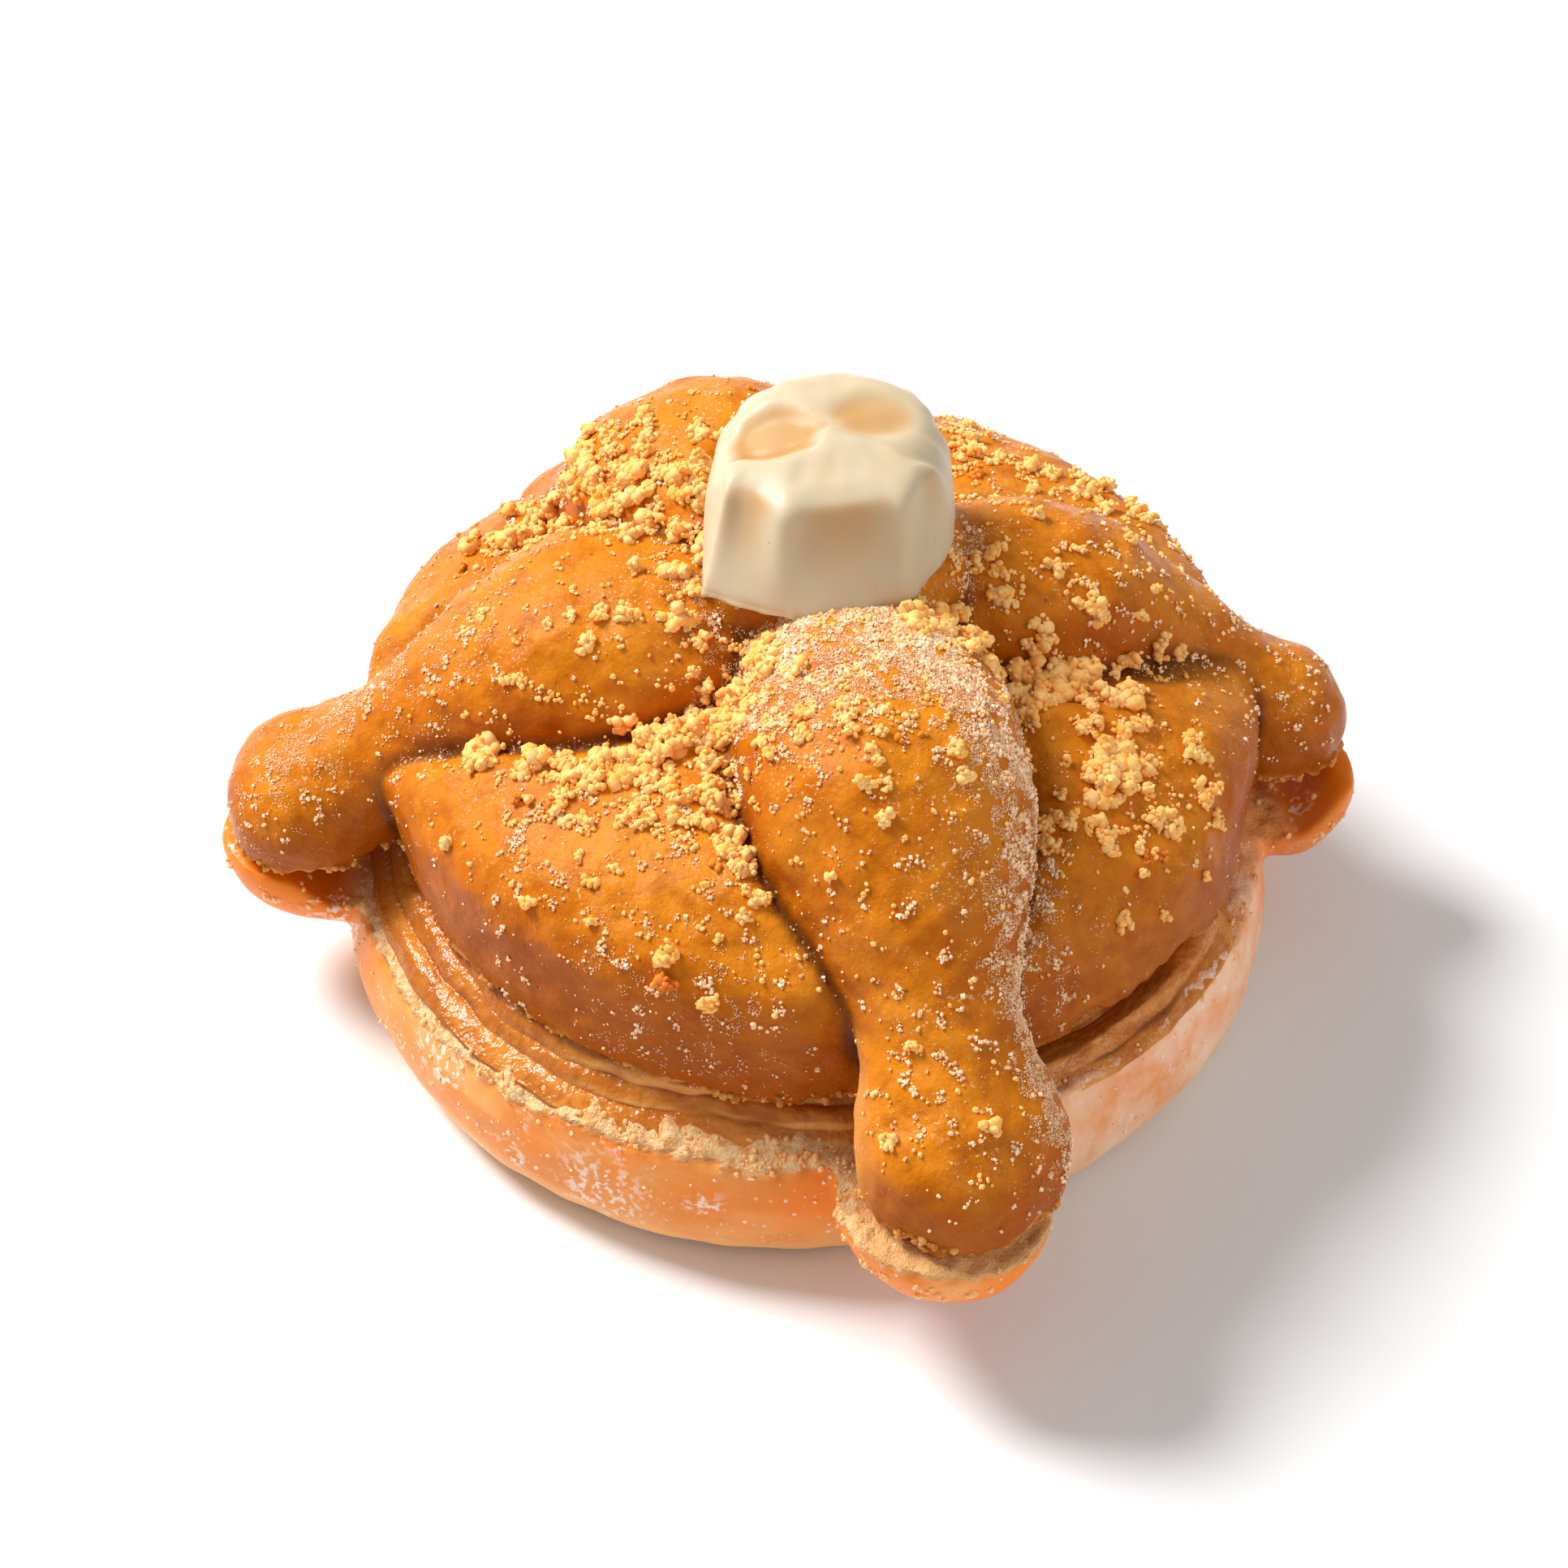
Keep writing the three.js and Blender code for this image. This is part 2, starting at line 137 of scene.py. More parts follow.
pale_floor()
soft_lamp("key_lamp", KEY_PLACE, 0.36, 11.6)
soft_lamp("side_lamp", SIDE_PLACE, 0.5, 1.7)

world = bpy.data.worlds.new("white_sky")
world.use_nodes = True
world.node_tree.nodes["Background"].inputs["Color"].default_value = (1, 1, 1, 1)
world.node_tree.nodes["Background"].inputs["Strength"].default_value = SKY_STRENGTH
scene.world = world
scene.view_settings.view_transform = "Standard"
print("lamps at", KEY_PLACE, "and", SIDE_PLACE)

# %% [markdown]
# ## Shaping helpers
#
# Every piece starts as a plain shape from a bmesh operator, and is then pulled into form by moving its
# vertices with a function, much as a baker pulls dough. The first helpers blend values softly, and give the
# smooth noise that makes baked dough look uneven.

# %% Blending and noise
def smooth(value, low, high):
    share = min(1, max(0, (value - low) / (high - low)))
    return share * share * (3 - 2 * share)


def mix(first, second, share):
    return first + (second - first) * share


def blend(pairs, share):
    """Blends a list of (share, value) pairs smoothly."""
    at, value = pairs[0]
    for next_at, next_value in pairs[1:]:
        if share <= next_at:
            return mix(value, next_value, smooth(share, at, next_at))
        at, value = next_at, next_value
    return value


def bumps(place, size, seed=0.0):
    """Smooth noise between about -1 and 1, with features of a size in millimetres."""
    return noise.noise(Vector(place) / (size * MM) + Vector((seed, 2.3 * seed, -seed)))


def flat_noise(x, y, seed, size):
    """The same over the plane, for places in millimetres."""
    return noise.noise(Vector((x, y, seed)) / size)


# %% [markdown]
# A round body is a profile that the spin operator turns round the Z axis. Bodies that grow into each other,
# as the bones do with the dome, could be joined with a Boolean. Here they are remeshed together instead.
# That gives one skin of small even squares, which takes fine relief well and melts the joints a little.

# %% Bodies and skins
def reshape(bm, move):
    for vertex in bm.verts:
        vertex.co = move(vertex.co)
    bm.normal_update()


def turned(profile, steps):
    """A profile of (radius, height) pairs in millimetres, spun round the Z axis into a closed body."""
    bm = bmesh.new()
    ring = [bm.verts.new((radius * MM, 0, height * MM)) for radius, height in profile]
    edges = [bm.edges.new(pair) for pair in zip(ring, ring[1:])]
    bmesh.ops.spin(bm, geom=ring + edges, cent=(0, 0, 0), axis=(0, 0, 1), angle=math.tau, steps=steps,
                   use_merge=True, use_duplicate=False)
    bmesh.ops.remove_doubles(bm, verts=bm.verts, dist=0.001 * MM)
    bmesh.ops.recalc_face_normals(bm, faces=bm.faces)
    return bm


def make_object(name, bm):
    mesh = bpy.data.meshes.new(name)
    bm.to_mesh(mesh)
    bm.free()
    thing = bpy.data.objects.new(name, mesh)
    scene.collection.objects.link(thing)
    return thing


def cut_at(bm, height, keep_below=False):
    """Slices a closed body at a height in millimetres, and closes it again with a flat face."""
    geometry = bm.verts[:] + bm.edges[:] + bm.faces[:]
    result = bmesh.ops.bisect_plane(bm, geom=geometry, plane_co=(0, 0, height * MM), dist=1e-7,
                                    plane_no=(0, 0, 1 if keep_below else -1), clear_outer=True)
    rim = [edge for edge in result["geom_cut"] if isinstance(edge, bmesh.types.BMEdge)]
    bmesh.ops.edgeloop_fill(bm, edges=rim)
    bmesh.ops.recalc_face_normals(bm, faces=bm.faces)
    return bm


def joined(name, parts, voxel):
    """Kneads closed bodies into one skin: they are put in one mesh and remeshed to small even squares."""
    bm = bmesh.new()
    for part in parts:
        piece = bpy.data.meshes.new("part")
        part.to_mesh(piece)
        part.free()
        bm.from_mesh(piece)
        bpy.data.meshes.remove(piece)
    thing = make_object(name, bm)
    remesh = thing.modifiers.new("remesh", "REMESH")
    remesh.mode = "VOXEL"
    remesh.voxel_size = voxel * MM
    remesh.adaptivity = 0
    skin = bpy.data.meshes.new_from_object(thing.evaluated_get(bpy.context.evaluated_depsgraph_get()))
    thing.modifiers.clear()
    thing.data = skin
    return thing


# %% [markdown]
# A large mesh is quicker to work on as one array of points than vertex by vertex. Softening moves every
# point towards its neighbours. How far a point moves when a skin is softened a lot also tells whether it
# lies in a hollow or on a ridge, and the finishes paint shade into the hollows by that later.

# %% The points of a mesh
def points_of(mesh):
    places = np.empty(len(mesh.vertices) * 3)
    mesh.vertices.foreach_get("co", places)
    return places.reshape(-1, 3)


def set_points(mesh, places):
    mesh.vertices.foreach_set("co", places.ravel())
    mesh.update()


def edges_of(mesh):
    edges = np.empty(len(mesh.edges) * 2, dtype=np.int32)
    mesh.edges.foreach_get("vertices", edges)
    return edges.reshape(-1, 2)


def normals_of(mesh):
    normals = np.empty(len(mesh.vertices) * 3)
    mesh.vertex_normals.foreach_get("vector", normals)
    return normals.reshape(-1, 3)


def softened(places, edges, rounds):
    """Moves every point half way to the middle of its neighbours, a number of times."""
    starts, ends = edges[:, 0], edges[:, 1]
    count = len(places)
    neighbours = np.bincount(starts, minlength=count) + np.bincount(ends, minlength=count)
    for _ in range(rounds):
        total = np.empty_like(places)
        for axis in range(3):
            total[:, axis] = (np.bincount(starts, places[ends, axis], count)
                              + np.bincount(ends, places[starts, axis], count))
        places = places + 0.5 * (total / neighbours[:, None] - places)
    return places


def give_attribute(mesh, name, values):
    attribute = mesh.attributes.new(name, "FLOAT", "POINT")
    attribute.data.foreach_set("value", np.asarray(values, dtype=np.float32))


def hollows_of(mesh, rounds=120):
    """How far each point lies in a hollow (above 0) or on a ridge (below 0), in millimetres."""
    places = points_of(mesh)
    moved = softened(places, edges_of(mesh), rounds)
    return np.einsum("ij,ij->i", moved - places, normals_of(mesh)) / MM


def relief(mesh, layers):
    """Pushes the skin out and in by layers of noise: (size, depth, seed, strength of each point)."""
    places = points_of(mesh)
    pushed = np.zeros(len(places))
    for size, depth, seed, strength in layers:
        strength = np.broadcast_to(strength, len(places))
        for i in np.flatnonzero(strength > 0.02):
            pushed[i] += depth * strength[i] * bumps(places[i], size, seed)
    set_points(mesh, places + normals_of(mesh) * pushed[:, None] * MM)


# %% [markdown]
# Nobody sees the faces inside the roll, so each becomes one flat face, which saves triangles. A finished
# piece gets its paint and smooth shading, and rides on the roll's one body.

# %% Inner faces and finished pieces
def flattened(thing, low, high, height, radius):
    """Makes one flat face of the skin between two heights near the loaf's middle, which nobody sees."""
    places = points_of(thing.data) / MM
    inside = np.hypot(places[:, 0] - LOAF_MIDDLE.x / MM, places[:, 1] - LOAF_MIDDLE.y / MM) < radius
    flat = inside & (places[:, 2] > low) & (places[:, 2] < high)
    places[flat, 2] = height
    set_points(thing.data, places * MM)
    bm = bmesh.new()
    bm.from_mesh(thing.data)
    bm.faces.ensure_lookup_table()
    faces = [face for face in bm.faces if all(flat[vertex.index] for vertex in face.verts)]
    bmesh.ops.dissolve_faces(bm, faces=faces, use_verts=True)
    bm.to_mesh(thing.data)
    bm.free()


def finish_piece(thing, paint, replaced=(), rounded=True):
    thing.data.materials.clear()
    thing.data.materials.append(paint)
    thing.data.polygons.foreach_set("use_smooth", [rounded] * len(thing.data.polygons))
    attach(thing, "root")
    if replaced:
        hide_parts(*replaced)
    triangles = sum(len(face.vertices) - 2 for face in thing.data.polygons)
    print(thing.name, triangles, "triangles")
    return thing


# %% [markdown]
# ## Driving sizes
#
# These repeat the solids' own sizes, so that what is made here lies on the same planes. The roll is split
# at CUT, filled with a layer of cream, and closed with the lid. A bone has a direction in degrees and a
# reach for its upper and its lower half, a bow sideways, half its width at the swell, the neck and the
# knob, and the height where its middle line starts. The loaf isn't quite round. A swelling says how far the
# lower half swells out in a direction, how far the dome swells out and up there, and how far the lid gapes.

# %% Driving sizes
CUT = 18.5
CREAM_DEPTH = 4.6
BASE_CUT = CUT + 0.5
LID_CUT = CUT + CREAM_DEPTH
BASE_MIDDLE = LOAF_MIDDLE / MM + Vector((-1.5, 2, 0))
BASE_RADIUS = 54.5
LID_MIDDLE = LOAF_MIDDLE / MM + Vector((0.5, 3, 0))
LID_RADIUS = 50.5
LID_WIDEST = LID_CUT + 10
DOME_TOP = 51
CREAM_RADIUS = 51.9
CROSSING = LOAF_MIDDLE / MM + Vector((1.5, 4.5, 0))

SKULL_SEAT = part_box("skull")[0].z / MM
SKULL_MIDDLE = LOAF_MIDDLE / MM + Vector((1, 6.4, 0))
print("skull seat at", round(SKULL_SEAT, 1), "mm")

BONES = {
    "left": {"upper": (186, 71), "lower": (185, 72), "bow": 1, "swell": 15.5, "neck": 8, "knob": 10,
             "start": 46},
    "front": {"upper": (283.5, 73.5), "lower": (282, 75), "bow": -1, "swell": 16, "neck": 9.2, "knob": 11.6,
              "start": 50},
    "right": {"upper": (7.5, 61), "lower": (4, 62.5), "bow": 4, "swell": 13.5, "neck": 7, "knob": 8.5,
              "start": 44.5},
    "back": {"upper": (126, 60), "lower": (124, 62), "bow": 1, "swell": 17, "neck": 9, "knob": 10,
             "start": 51.5},
}
SWELLINGS = [
    {"angle": 310, "base": -1.6, "out": 0, "up": 0, "gape": 0},
    {"angle": 68, "base": 0, "out": 1, "up": 1, "gape": 0},
    {"angle": 163, "base": 0, "out": 5, "up": -1.5, "gape": 0},
    {"angle": 314, "base": 0, "out": -2.6, "up": 0, "gape": 4.4},
    {"angle": 232, "base": 0, "out": 0, "up": 0, "gape": 0.7},
]


def swelling(x, y, key):
    """How much of each swelling the loaf has in a direction."""
    angle = math.degrees(math.atan2(y, x))
    amount = 0
    for place in SWELLINGS:
        away = (angle - place["angle"] + 180) % 360 - 180
        amount += place[key] * math.exp(-((away / 26) ** 2))
    return amount


# %% [markdown]
# ## The bones
#
# A bone is a rope of dough rolled thin near one end, so that it has a fat swell, a neck and a knob. It
# starts as a sphere. Each of its rings is moved out along a curve and given the width and height that the
# rope has there, and the two ends stay round.

# %% The bones
BONE_ROWS = 72
BONE_SIDES = 56


def catmull_rom(points, samples=160):
    """A smooth path through points, as evenly spaced places and their directions."""
    points = [np.array(point, float) for point in points]
    points = [2 * points[0] - points[1], *points, 2 * points[-1] - points[-2]]
    path = []
    for before, start, end, after in zip(points, points[1:], points[2:], points[3:]):
        for share in np.linspace(0, 1, samples, endpoint=False):
            path.append(0.5 * (2 * start + (end - before) * share
                               + (2 * before - 5 * start + 4 * end - after) * share ** 2
                               + (3 * start - before - 3 * end + after) * share ** 3))
    path.append(points[-2])
    path = np.array(path)
    length = np.concatenate([[0], np.cumsum(np.linalg.norm(np.diff(path, axis=0), axis=1))])
    even = np.linspace(0, length[-1], samples)
    places = np.stack([np.interp(even, length, path[:, axis]) for axis in range(3)], axis=1)
    return places, np.gradient(places, axis=0), length[-1]


def bone_points(bone, which, pairs):
    direction, reach = bone[which]
    angle = math.radians(direction)
    out_way = Vector((math.cos(angle), math.sin(angle), 0))
    side_way = Vector((-math.sin(angle), math.cos(angle), 0))
    points = []
    for share, height in pairs:
        bow = bone["bow"] * math.sin(math.pi * min(1, max(0, share)))
        points.append(CROSSING + share * reach * out_way + bow * side_way + Vector((0, 0, height)))
    return points


def strand(points, half_width, half_height):
    """A sphere drawn out along a path, with a half width and a half height at each share of it."""
    places, directions, length = catmull_rom(points)
    bm = bmesh.new()
    bmesh.ops.create_uvsphere(bm, u_segments=BONE_SIDES, v_segments=BONE_ROWS, radius=1)

    def move(point):
        share = min(1, max(0, (1 - point.z) / 2))
        index = share * (len(places) - 1)
        low = min(int(index), len(places) - 2)
        part = index - low
        middle = Vector(mix(places[low], places[low + 1], part))
        along = Vector(mix(directions[low], directions[low + 1], part)).normalized()
        side = Vector((0, 0, 1)).cross(along).normalized()
        over = along.cross(side)
        width = blend(half_width, share)
        from_end = min(share, 1 - share) * length
        ring = math.sqrt(max(0, 1 - (1 - from_end / width) ** 2)) if from_end < width else 1
        turn = math.atan2(point.y, point.x)
        offset = side * width * math.cos(turn) + over * blend(half_height, share) * math.sin(turn)
        return (middle + ring * offset) * MM

    reshape(bm, move)
    bmesh.ops.recalc_face_normals(bm, faces=bm.faces)
    return bm


def upper_bone(bone):
    start = bone["start"]
    knob_height = LID_CUT + 2.5
    points = bone_points(bone, "upper", [
        (-0.06, start - 1), (0.2, start + 1), (0.4, start + 0.5),
        (0.57, mix(start, knob_height, 0.25)), (0.7, mix(start, knob_height, 0.55)),
        (0.84, mix(start, knob_height, 0.9)), (1, knob_height - 1),
    ])
    widths = [(0, 10), (0.4, bone["swell"]), (0.72, bone["neck"]), (0.88, bone["knob"]), (1, bone["knob"])]
    heights = [(0, 10), (0.4, 12), (0.72, 8), (0.88, 9), (1, 9)]
    return cut_at(strand(points, widths, heights), LID_CUT)


def lower_bone(bone):
    points = bone_points(bone, "lower", [(0.6, CUT), (0.8, CUT), (1, CUT)])
    widths = [(0, bone["neck"]), (0.6, bone["knob"]), (1, bone["knob"])]
    return cut_at(strand(points, widths, [(0, 9), (1, 9)]), BASE_CUT, keep_below=True)


# %% [markdown]
# ## The upper half
#
# The dome is turned like a bowl and pulled a little out of round. Along each bone the dough is pressed
# down, so that it swells up between them. A skin of small even squares then joins dome and bones. The
# underside is flattened to the cut.

# %% Dome of the upper half
VOXEL = 0.61
ROUND_STEPS = 160
GROOVE_DEPTH = 3.4
GROOVE_WIDTH = 3.6
MOUND_RADIUS = 16


def bone_groove(x, y):
    """How far the dough is pressed down beside the bones, at a place in millimetres."""
    depth = 0
    for bone in BONES.values():
        angle = math.radians(bone["upper"][0])
        out = (x - CROSSING.x) * math.cos(angle) + (y - CROSSING.y) * math.sin(angle)
        aside = abs((y - CROSSING.y) * math.cos(angle) - (x - CROSSING.x) * math.sin(angle))
        share = out / bone["upper"][1]
        width = blend([(0, 10), (0.4, bone["swell"]), (0.72, bone["neck"]), (1, bone["knob"])], max(0, share))
        beside = math.exp(-(((aside - 0.9 * width) / GROOVE_WIDTH) ** 2)) if aside > 0.9 * width else 1
        depth = max(depth, GROOVE_DEPTH * beside * smooth(out, 0, 14) * (1 - 0.5 * smooth(share, 0.75, 1)))
    return depth


def dome():
    boxy = 2 / 2.35  # between a dome and a box
    steps = 40
    profile = [(0, LID_CUT), (LID_RADIUS - 1.4, LID_CUT), (LID_RADIUS - 0.6, LID_CUT + 3.5)]
    for i in range(steps):
        lift = i / steps * math.pi / 2
        profile.append((LID_RADIUS * math.cos(lift) ** boxy,
                        LID_WIDEST + (DOME_TOP - LID_WIDEST) * math.sin(lift) ** boxy))
    profile.append((0, DOME_TOP))
    bm = turned(profile, ROUND_STEPS)

    def move(point):
        x, y, z = point / MM
        radius = math.hypot(x, y)
        wide = smooth(z, LID_CUT, LID_WIDEST + 8)
        high = smooth(radius, 8, 30) * smooth(z, LID_CUT + 2, LID_WIDEST + 6)
        swell = 1 + (0.7 * bumps(point, 22, 4) + wide * swelling(x, y, "out")) / LID_RADIUS
        z += 0.5 * bumps(point, 15, 7) + high * swelling(x, y, "up")
        x, y = x * swell + LID_MIDDLE.x, y * swell + LID_MIDDLE.y
        if z > LID_WIDEST:
            z -= bone_groove(x, y) * smooth(z, LID_WIDEST, LID_WIDEST + 12)
        return Vector((x, y, z)) * MM

    reshape(bm, move)
    return bm


def mound():
    """The dough that swells up where the bones cross, under the skull."""
    bm = bmesh.new()
    bmesh.ops.create_uvsphere(bm, u_segments=48, v_segments=32, radius=MOUND_RADIUS * MM)
    place = SKULL_MIDDLE + Vector((0, 0, SKULL_SEAT - 0.4 * MOUND_RADIUS))
    bmesh.ops.scale(bm, vec=(1, 1, 0.6), verts=bm.verts)
    bmesh.ops.translate(bm, vec=place * MM, verts=bm.verts)
    return bm


upper = joined("upper_half", [dome(), mound(), *map(upper_bone, BONES.values())], VOXEL)
print("upper half:", len(upper.data.vertices), "points")

# %% [markdown]
# ## The seat, the torn edge and the skin
#
# The skull is pressed onto a flat seat, so the skin stops at that height. The halves were torn apart, so
# the lid's lower edge runs up and down, and it gapes at the right front, where the cream has lifted it.
# Some valleys are soft. There the skin is blended with a much smoother copy of itself. Layers of noise then
# leave the dents and wrinkles of baking, from 12 mm across down to about 2 mm.

# %% Seat, torn edge and skin of the upper half
SEAT_RADIUS = 15.1
SQUEEZE = 6
# Where the dome runs softly into a bone: start, end, spread and amount.
SOFT_VALLEYS = [
    ((-8, -15), (2, -36), 5.5, 1.1),
    ((14, -6), (26, -4), 4, 0.7),
    ((9, 19), (37, 23), 6, 1.1),
    ((28, -5), (46, -4), 3.5, 0.7),
]


def from_middle(x, y):
    return math.hypot(x - LOAF_MIDDLE.x / MM, y - LOAF_MIDDLE.y / MM)


def drifted(places, drifts):
    """How thickly the drifts lie at places: (start, end, spread, amount), seen from above in millimetres."""
    flat = places[:, :2] / MM - np.array(LOAF_MIDDLE.xy) / MM
    total = np.zeros(len(flat))
    for start, end, spread, amount in drifts:
        along = np.subtract(end, start)
        share = np.clip((flat - start) @ along / max(along @ along, 0.01), 0, 1)
        away = np.linalg.norm(flat - start - share[:, None] * along, axis=1)
        total += amount * np.exp(-((away / spread) ** 2))
    return total


def shape_upper(mesh):
    """Gives the lid its ragged underside and its flat seat, and says how near the cut a point is."""
    places = points_of(mesh) / MM
    near_cut = np.zeros(len(places))
    torn = np.zeros(len(places))
    for i, (x, y, z) in enumerate(places):
        radius = from_middle(x, y)
        if z < LID_CUT + SQUEEZE:
            gape = swelling(x - LOAF_MIDDLE.x / MM, y - LOAF_MIDDLE.y / MM, "gape") * smooth(radius, 40, 46)
            ragged = (1 + 0.35 * gape) * (flat_noise(x, y, 3, 5) + 0.5 * flat_noise(x, y, 9, 1.8))
            near_cut[i] = math.exp(-(((z - LID_CUT) / 1.1) ** 2)) * smooth(radius, 38, 42)
            torn[i] = 1 - smooth(z, LID_CUT + 0.15, LID_CUT + 0.3 + max(0, 0.45 + ragged))
            hang = mix(1.2 - gape, 1.2 * smooth(radius, 50, 62), smooth(radius, 50, 52))
            under = LID_CUT - hang + ragged
            top = LID_CUT + SQUEEZE
            z = top - (top - z) * (top - under) / SQUEEZE
        away = math.hypot(x - SKULL_MIDDLE.x, y - SKULL_MIDDLE.y)
        seat = SKULL_SEAT - 0.3 + 6 * smooth(away, SEAT_RADIUS - 1.2, SEAT_RADIUS + 5)
        places[i] = (x, y, min(z, seat))
    places = softened(places, edges_of(mesh), 4)
    share = np.clip(drifted(places * MM, SOFT_VALLEYS), 0, 1)[:, None]
    set_points(mesh, mix(places, softened(places, edges_of(mesh), 150), share) * MM)
    return near_cut, torn


mesh = upper.data
near_cut, torn = shape_upper(mesh)
give_attribute(mesh, "hollow", hollows_of(mesh))
give_attribute(mesh, "torn", torn)
relief(mesh, [(12, 0.6, 1, 1), (5, 0.42, 5, 1), (2.2, 0.22, 9, 1), (1.5, 0.9, 3, near_cut)])
flattened(upper, LID_CUT - 3, LID_CUT + 1.6, LID_CUT, 41)
print("deepest hollow", round(max(value.value for value in mesh.attributes["hollow"].data), 2), "mm")

# %% [markdown]
# ## The lower half
#
# The lower half is a low drum with a rounded foot, and the lower slices of the bone ends stick out of it
# like ears. Its upper edge is torn: the crust stops in an uneven line, and the pale crumb behind it slopes
# up to the cream.

# %% The lower half
TORN_FROM = 10  # below this height the drum keeps its turned shape


def base_top(radius):
    return CUT - 2 * smooth(radius, 48, 54)


def bone_end_top(radius):
    return base_top(radius) + 4 * smooth(radius, 56, 63)


def base_drum():
    profile = [(0, 0), (BASE_RADIUS - 6.5, 0), (BASE_RADIUS - 3.6, 0.8), (BASE_RADIUS - 1.2, 3.6),
               (BASE_RADIUS - 0.2, 6), (BASE_RADIUS, 8.5), (BASE_RADIUS, 12), (BASE_RADIUS - 0.8, 17),
               (BASE_RADIUS - 1.5, BASE_CUT), (0, BASE_CUT)]
    bm = turned(profile, ROUND_STEPS)

    def move(point):
        x, y, z = point / MM
        radius = math.hypot(x, y)
        swell = 1
        if radius > 20:
            swell += (0.9 * bumps((point.x, point.y, 0), 30, 2) + swelling(x, y, "base")) / BASE_RADIUS
        return Vector((x * swell + BASE_MIDDLE.x, y * swell + BASE_MIDDLE.y, z)) * MM

    reshape(bm, move)
    return bm


def in_front_ear(x, y):
    """The front ear shows its cut crumb. The others are browned all over."""
    return y < BASE_MIDDLE.y - 40 and abs(x - CROSSING.x - 15) < 18


def shape_lower(mesh):
    """Slopes the top towards the torn rim, and says how near the cut a point is."""
    places = points_of(mesh) / MM
    near_cut = np.zeros(len(places))
    torn = np.zeros(len(places))
    browned = np.zeros(len(places))
    for i, (x, y, z) in enumerate(places):
        if z > TORN_FROM:
            radius = from_middle(x, y)
            in_base = math.hypot(x - BASE_MIDDLE.x, y - BASE_MIDDLE.y) < BASE_RADIUS + 1
            ragged = 0.5 * flat_noise(x, y, 8, 5) + 0.25 * flat_noise(x, y, 2, 1.8)
            browned[i] = 0 if in_front_ear(x, y) else smooth(radius, 54, 57)
            bare = 1 - browned[i]
            near_cut[i] = math.exp(-(((z - BASE_CUT) / 1.1) ** 2)) * smooth(radius, 38, 42) * bare
            torn[i] = smooth(z, BASE_CUT - 0.3 - max(0, 0.45 - ragged), BASE_CUT - 0.15) * bare
            top = base_top(radius) if in_base else bone_end_top(radius)
            z = TORN_FROM + (z - TORN_FROM) * (top + ragged - TORN_FROM) / (BASE_CUT - TORN_FROM)
        places[i] = (x, y, z)
    set_points(mesh, softened(places, edges_of(mesh), 3) * MM)
    give_attribute(mesh, "browned", browned)
    return near_cut, torn


lower = joined("lower_half", [base_drum(), *map(lower_bone, BONES.values())], VOXEL)
mesh = lower.data
near_cut, torn = shape_lower(mesh)
give_attribute(mesh, "hollow", hollows_of(mesh))
give_attribute(mesh, "torn", torn)
relief(mesh, [(11, 0.4, 3, 1), (4, 0.18, 6, 1), (1.6, 0.9, 4, near_cut), (0.9, 0.3, 8, near_cut)])
places = points_of(mesh)
places[:, 2] = np.maximum(places[:, 2], 0)
set_points(mesh, places)
flattened(lower, -1, 0.4, 0, 41)
flattened(lower, CUT - 2.5, CUT + 2.5, CUT - 0.1, 41)
print("lower half:", len(mesh.vertices), "points")

# %% [markdown]
# ## The cream
#
# A thick layer of cream shows between the halves. The lid has pressed it outwards, so that it slopes down
# to the rim in four long soft folds. It is turned like the dome, with a fine profile. Each fold is a round
# ridge that runs along the rim, drifts slowly up and down, and meets the next one in a sharp crease.

# %% The cream
CREAM_STEPS = 540
CREAM_FOLDS = [
    # place up the slope, half width, height
    (0.16, 0.2, 1.2),
    (0.46, 0.2, 1.5),
    (0.74, 0.18, 1.0),
    (0.95, 0.14, 0.6),
]


def around_noise(around, lobes, seed):
    return noise.noise(lobes * around + Vector((seed, -seed, 0.5 * seed)))


def cream():
    foot, brow = CUT - 2.5, LID_CUT - 0.2
    slope = [(CREAM_RADIUS - 0.6 - 6.4 * share ** 0.85, foot + 1 + (brow - foot - 1) * share)
             for share in np.linspace(0, 1, 44)]
    bm = turned([(0, foot), (CREAM_RADIUS - 1.5, foot), *slope, (CREAM_RADIUS - 10, brow), (0, brow)],
                CREAM_STEPS)

    def move(point):
        x, y, z = point / MM
        radius = math.hypot(x, y)
        if radius < CREAM_RADIUS - 9:
            return Vector((x + BASE_MIDDLE.x, y + BASE_MIDDLE.y, z)) * MM
        around = Vector((x, y, 0)).normalized()
        up = (z - foot - 1) / (brow - foot - 1)
        ridge = 0
        for seed, (place, width, height) in enumerate(CREAM_FOLDS, 3):
            place += 0.13 * around_noise(around, 1.3, seed) + 0.03 * around_noise(around, 5, seed)
            width *= 1 + 0.5 * around_noise(around, 1.7, seed + 10)
            height *= 0.8 + 1.2 * around_noise(around, 2.1, seed + 20)
            ridge = max(ridge, height * math.sqrt(max(0, 1 - ((up - place) / width) ** 2)))
        out = 0.8 * around_noise(around, 2.2, 7) + 0.25 * around_noise(around, 9, 4)
        out += swelling(x, y, "base") + 0.4 * swelling(x, y, "gape")
        ridge *= 1 + 0.35 * bumps((point.x, point.y, 3 * point.z), 6, 5)
        radius += out + 0.6 * ridge + 0.3 * bumps((point.x, point.y, 2 * point.z), 3, 9)
        return Vector((around.x * radius + BASE_MIDDLE.x, around.y * radius + BASE_MIDDLE.y,
                       z + 0.6 * ridge - 0.6 * swelling(x, y, "gape") * smooth(up, 0.45, 1))) * MM

    reshape(bm, move)
    return make_object("cream", bm)


filling = cream()
give_attribute(filling.data, "hollow", hollows_of(filling.data, 60))
print("cream:", len(filling.data.vertices), "points")

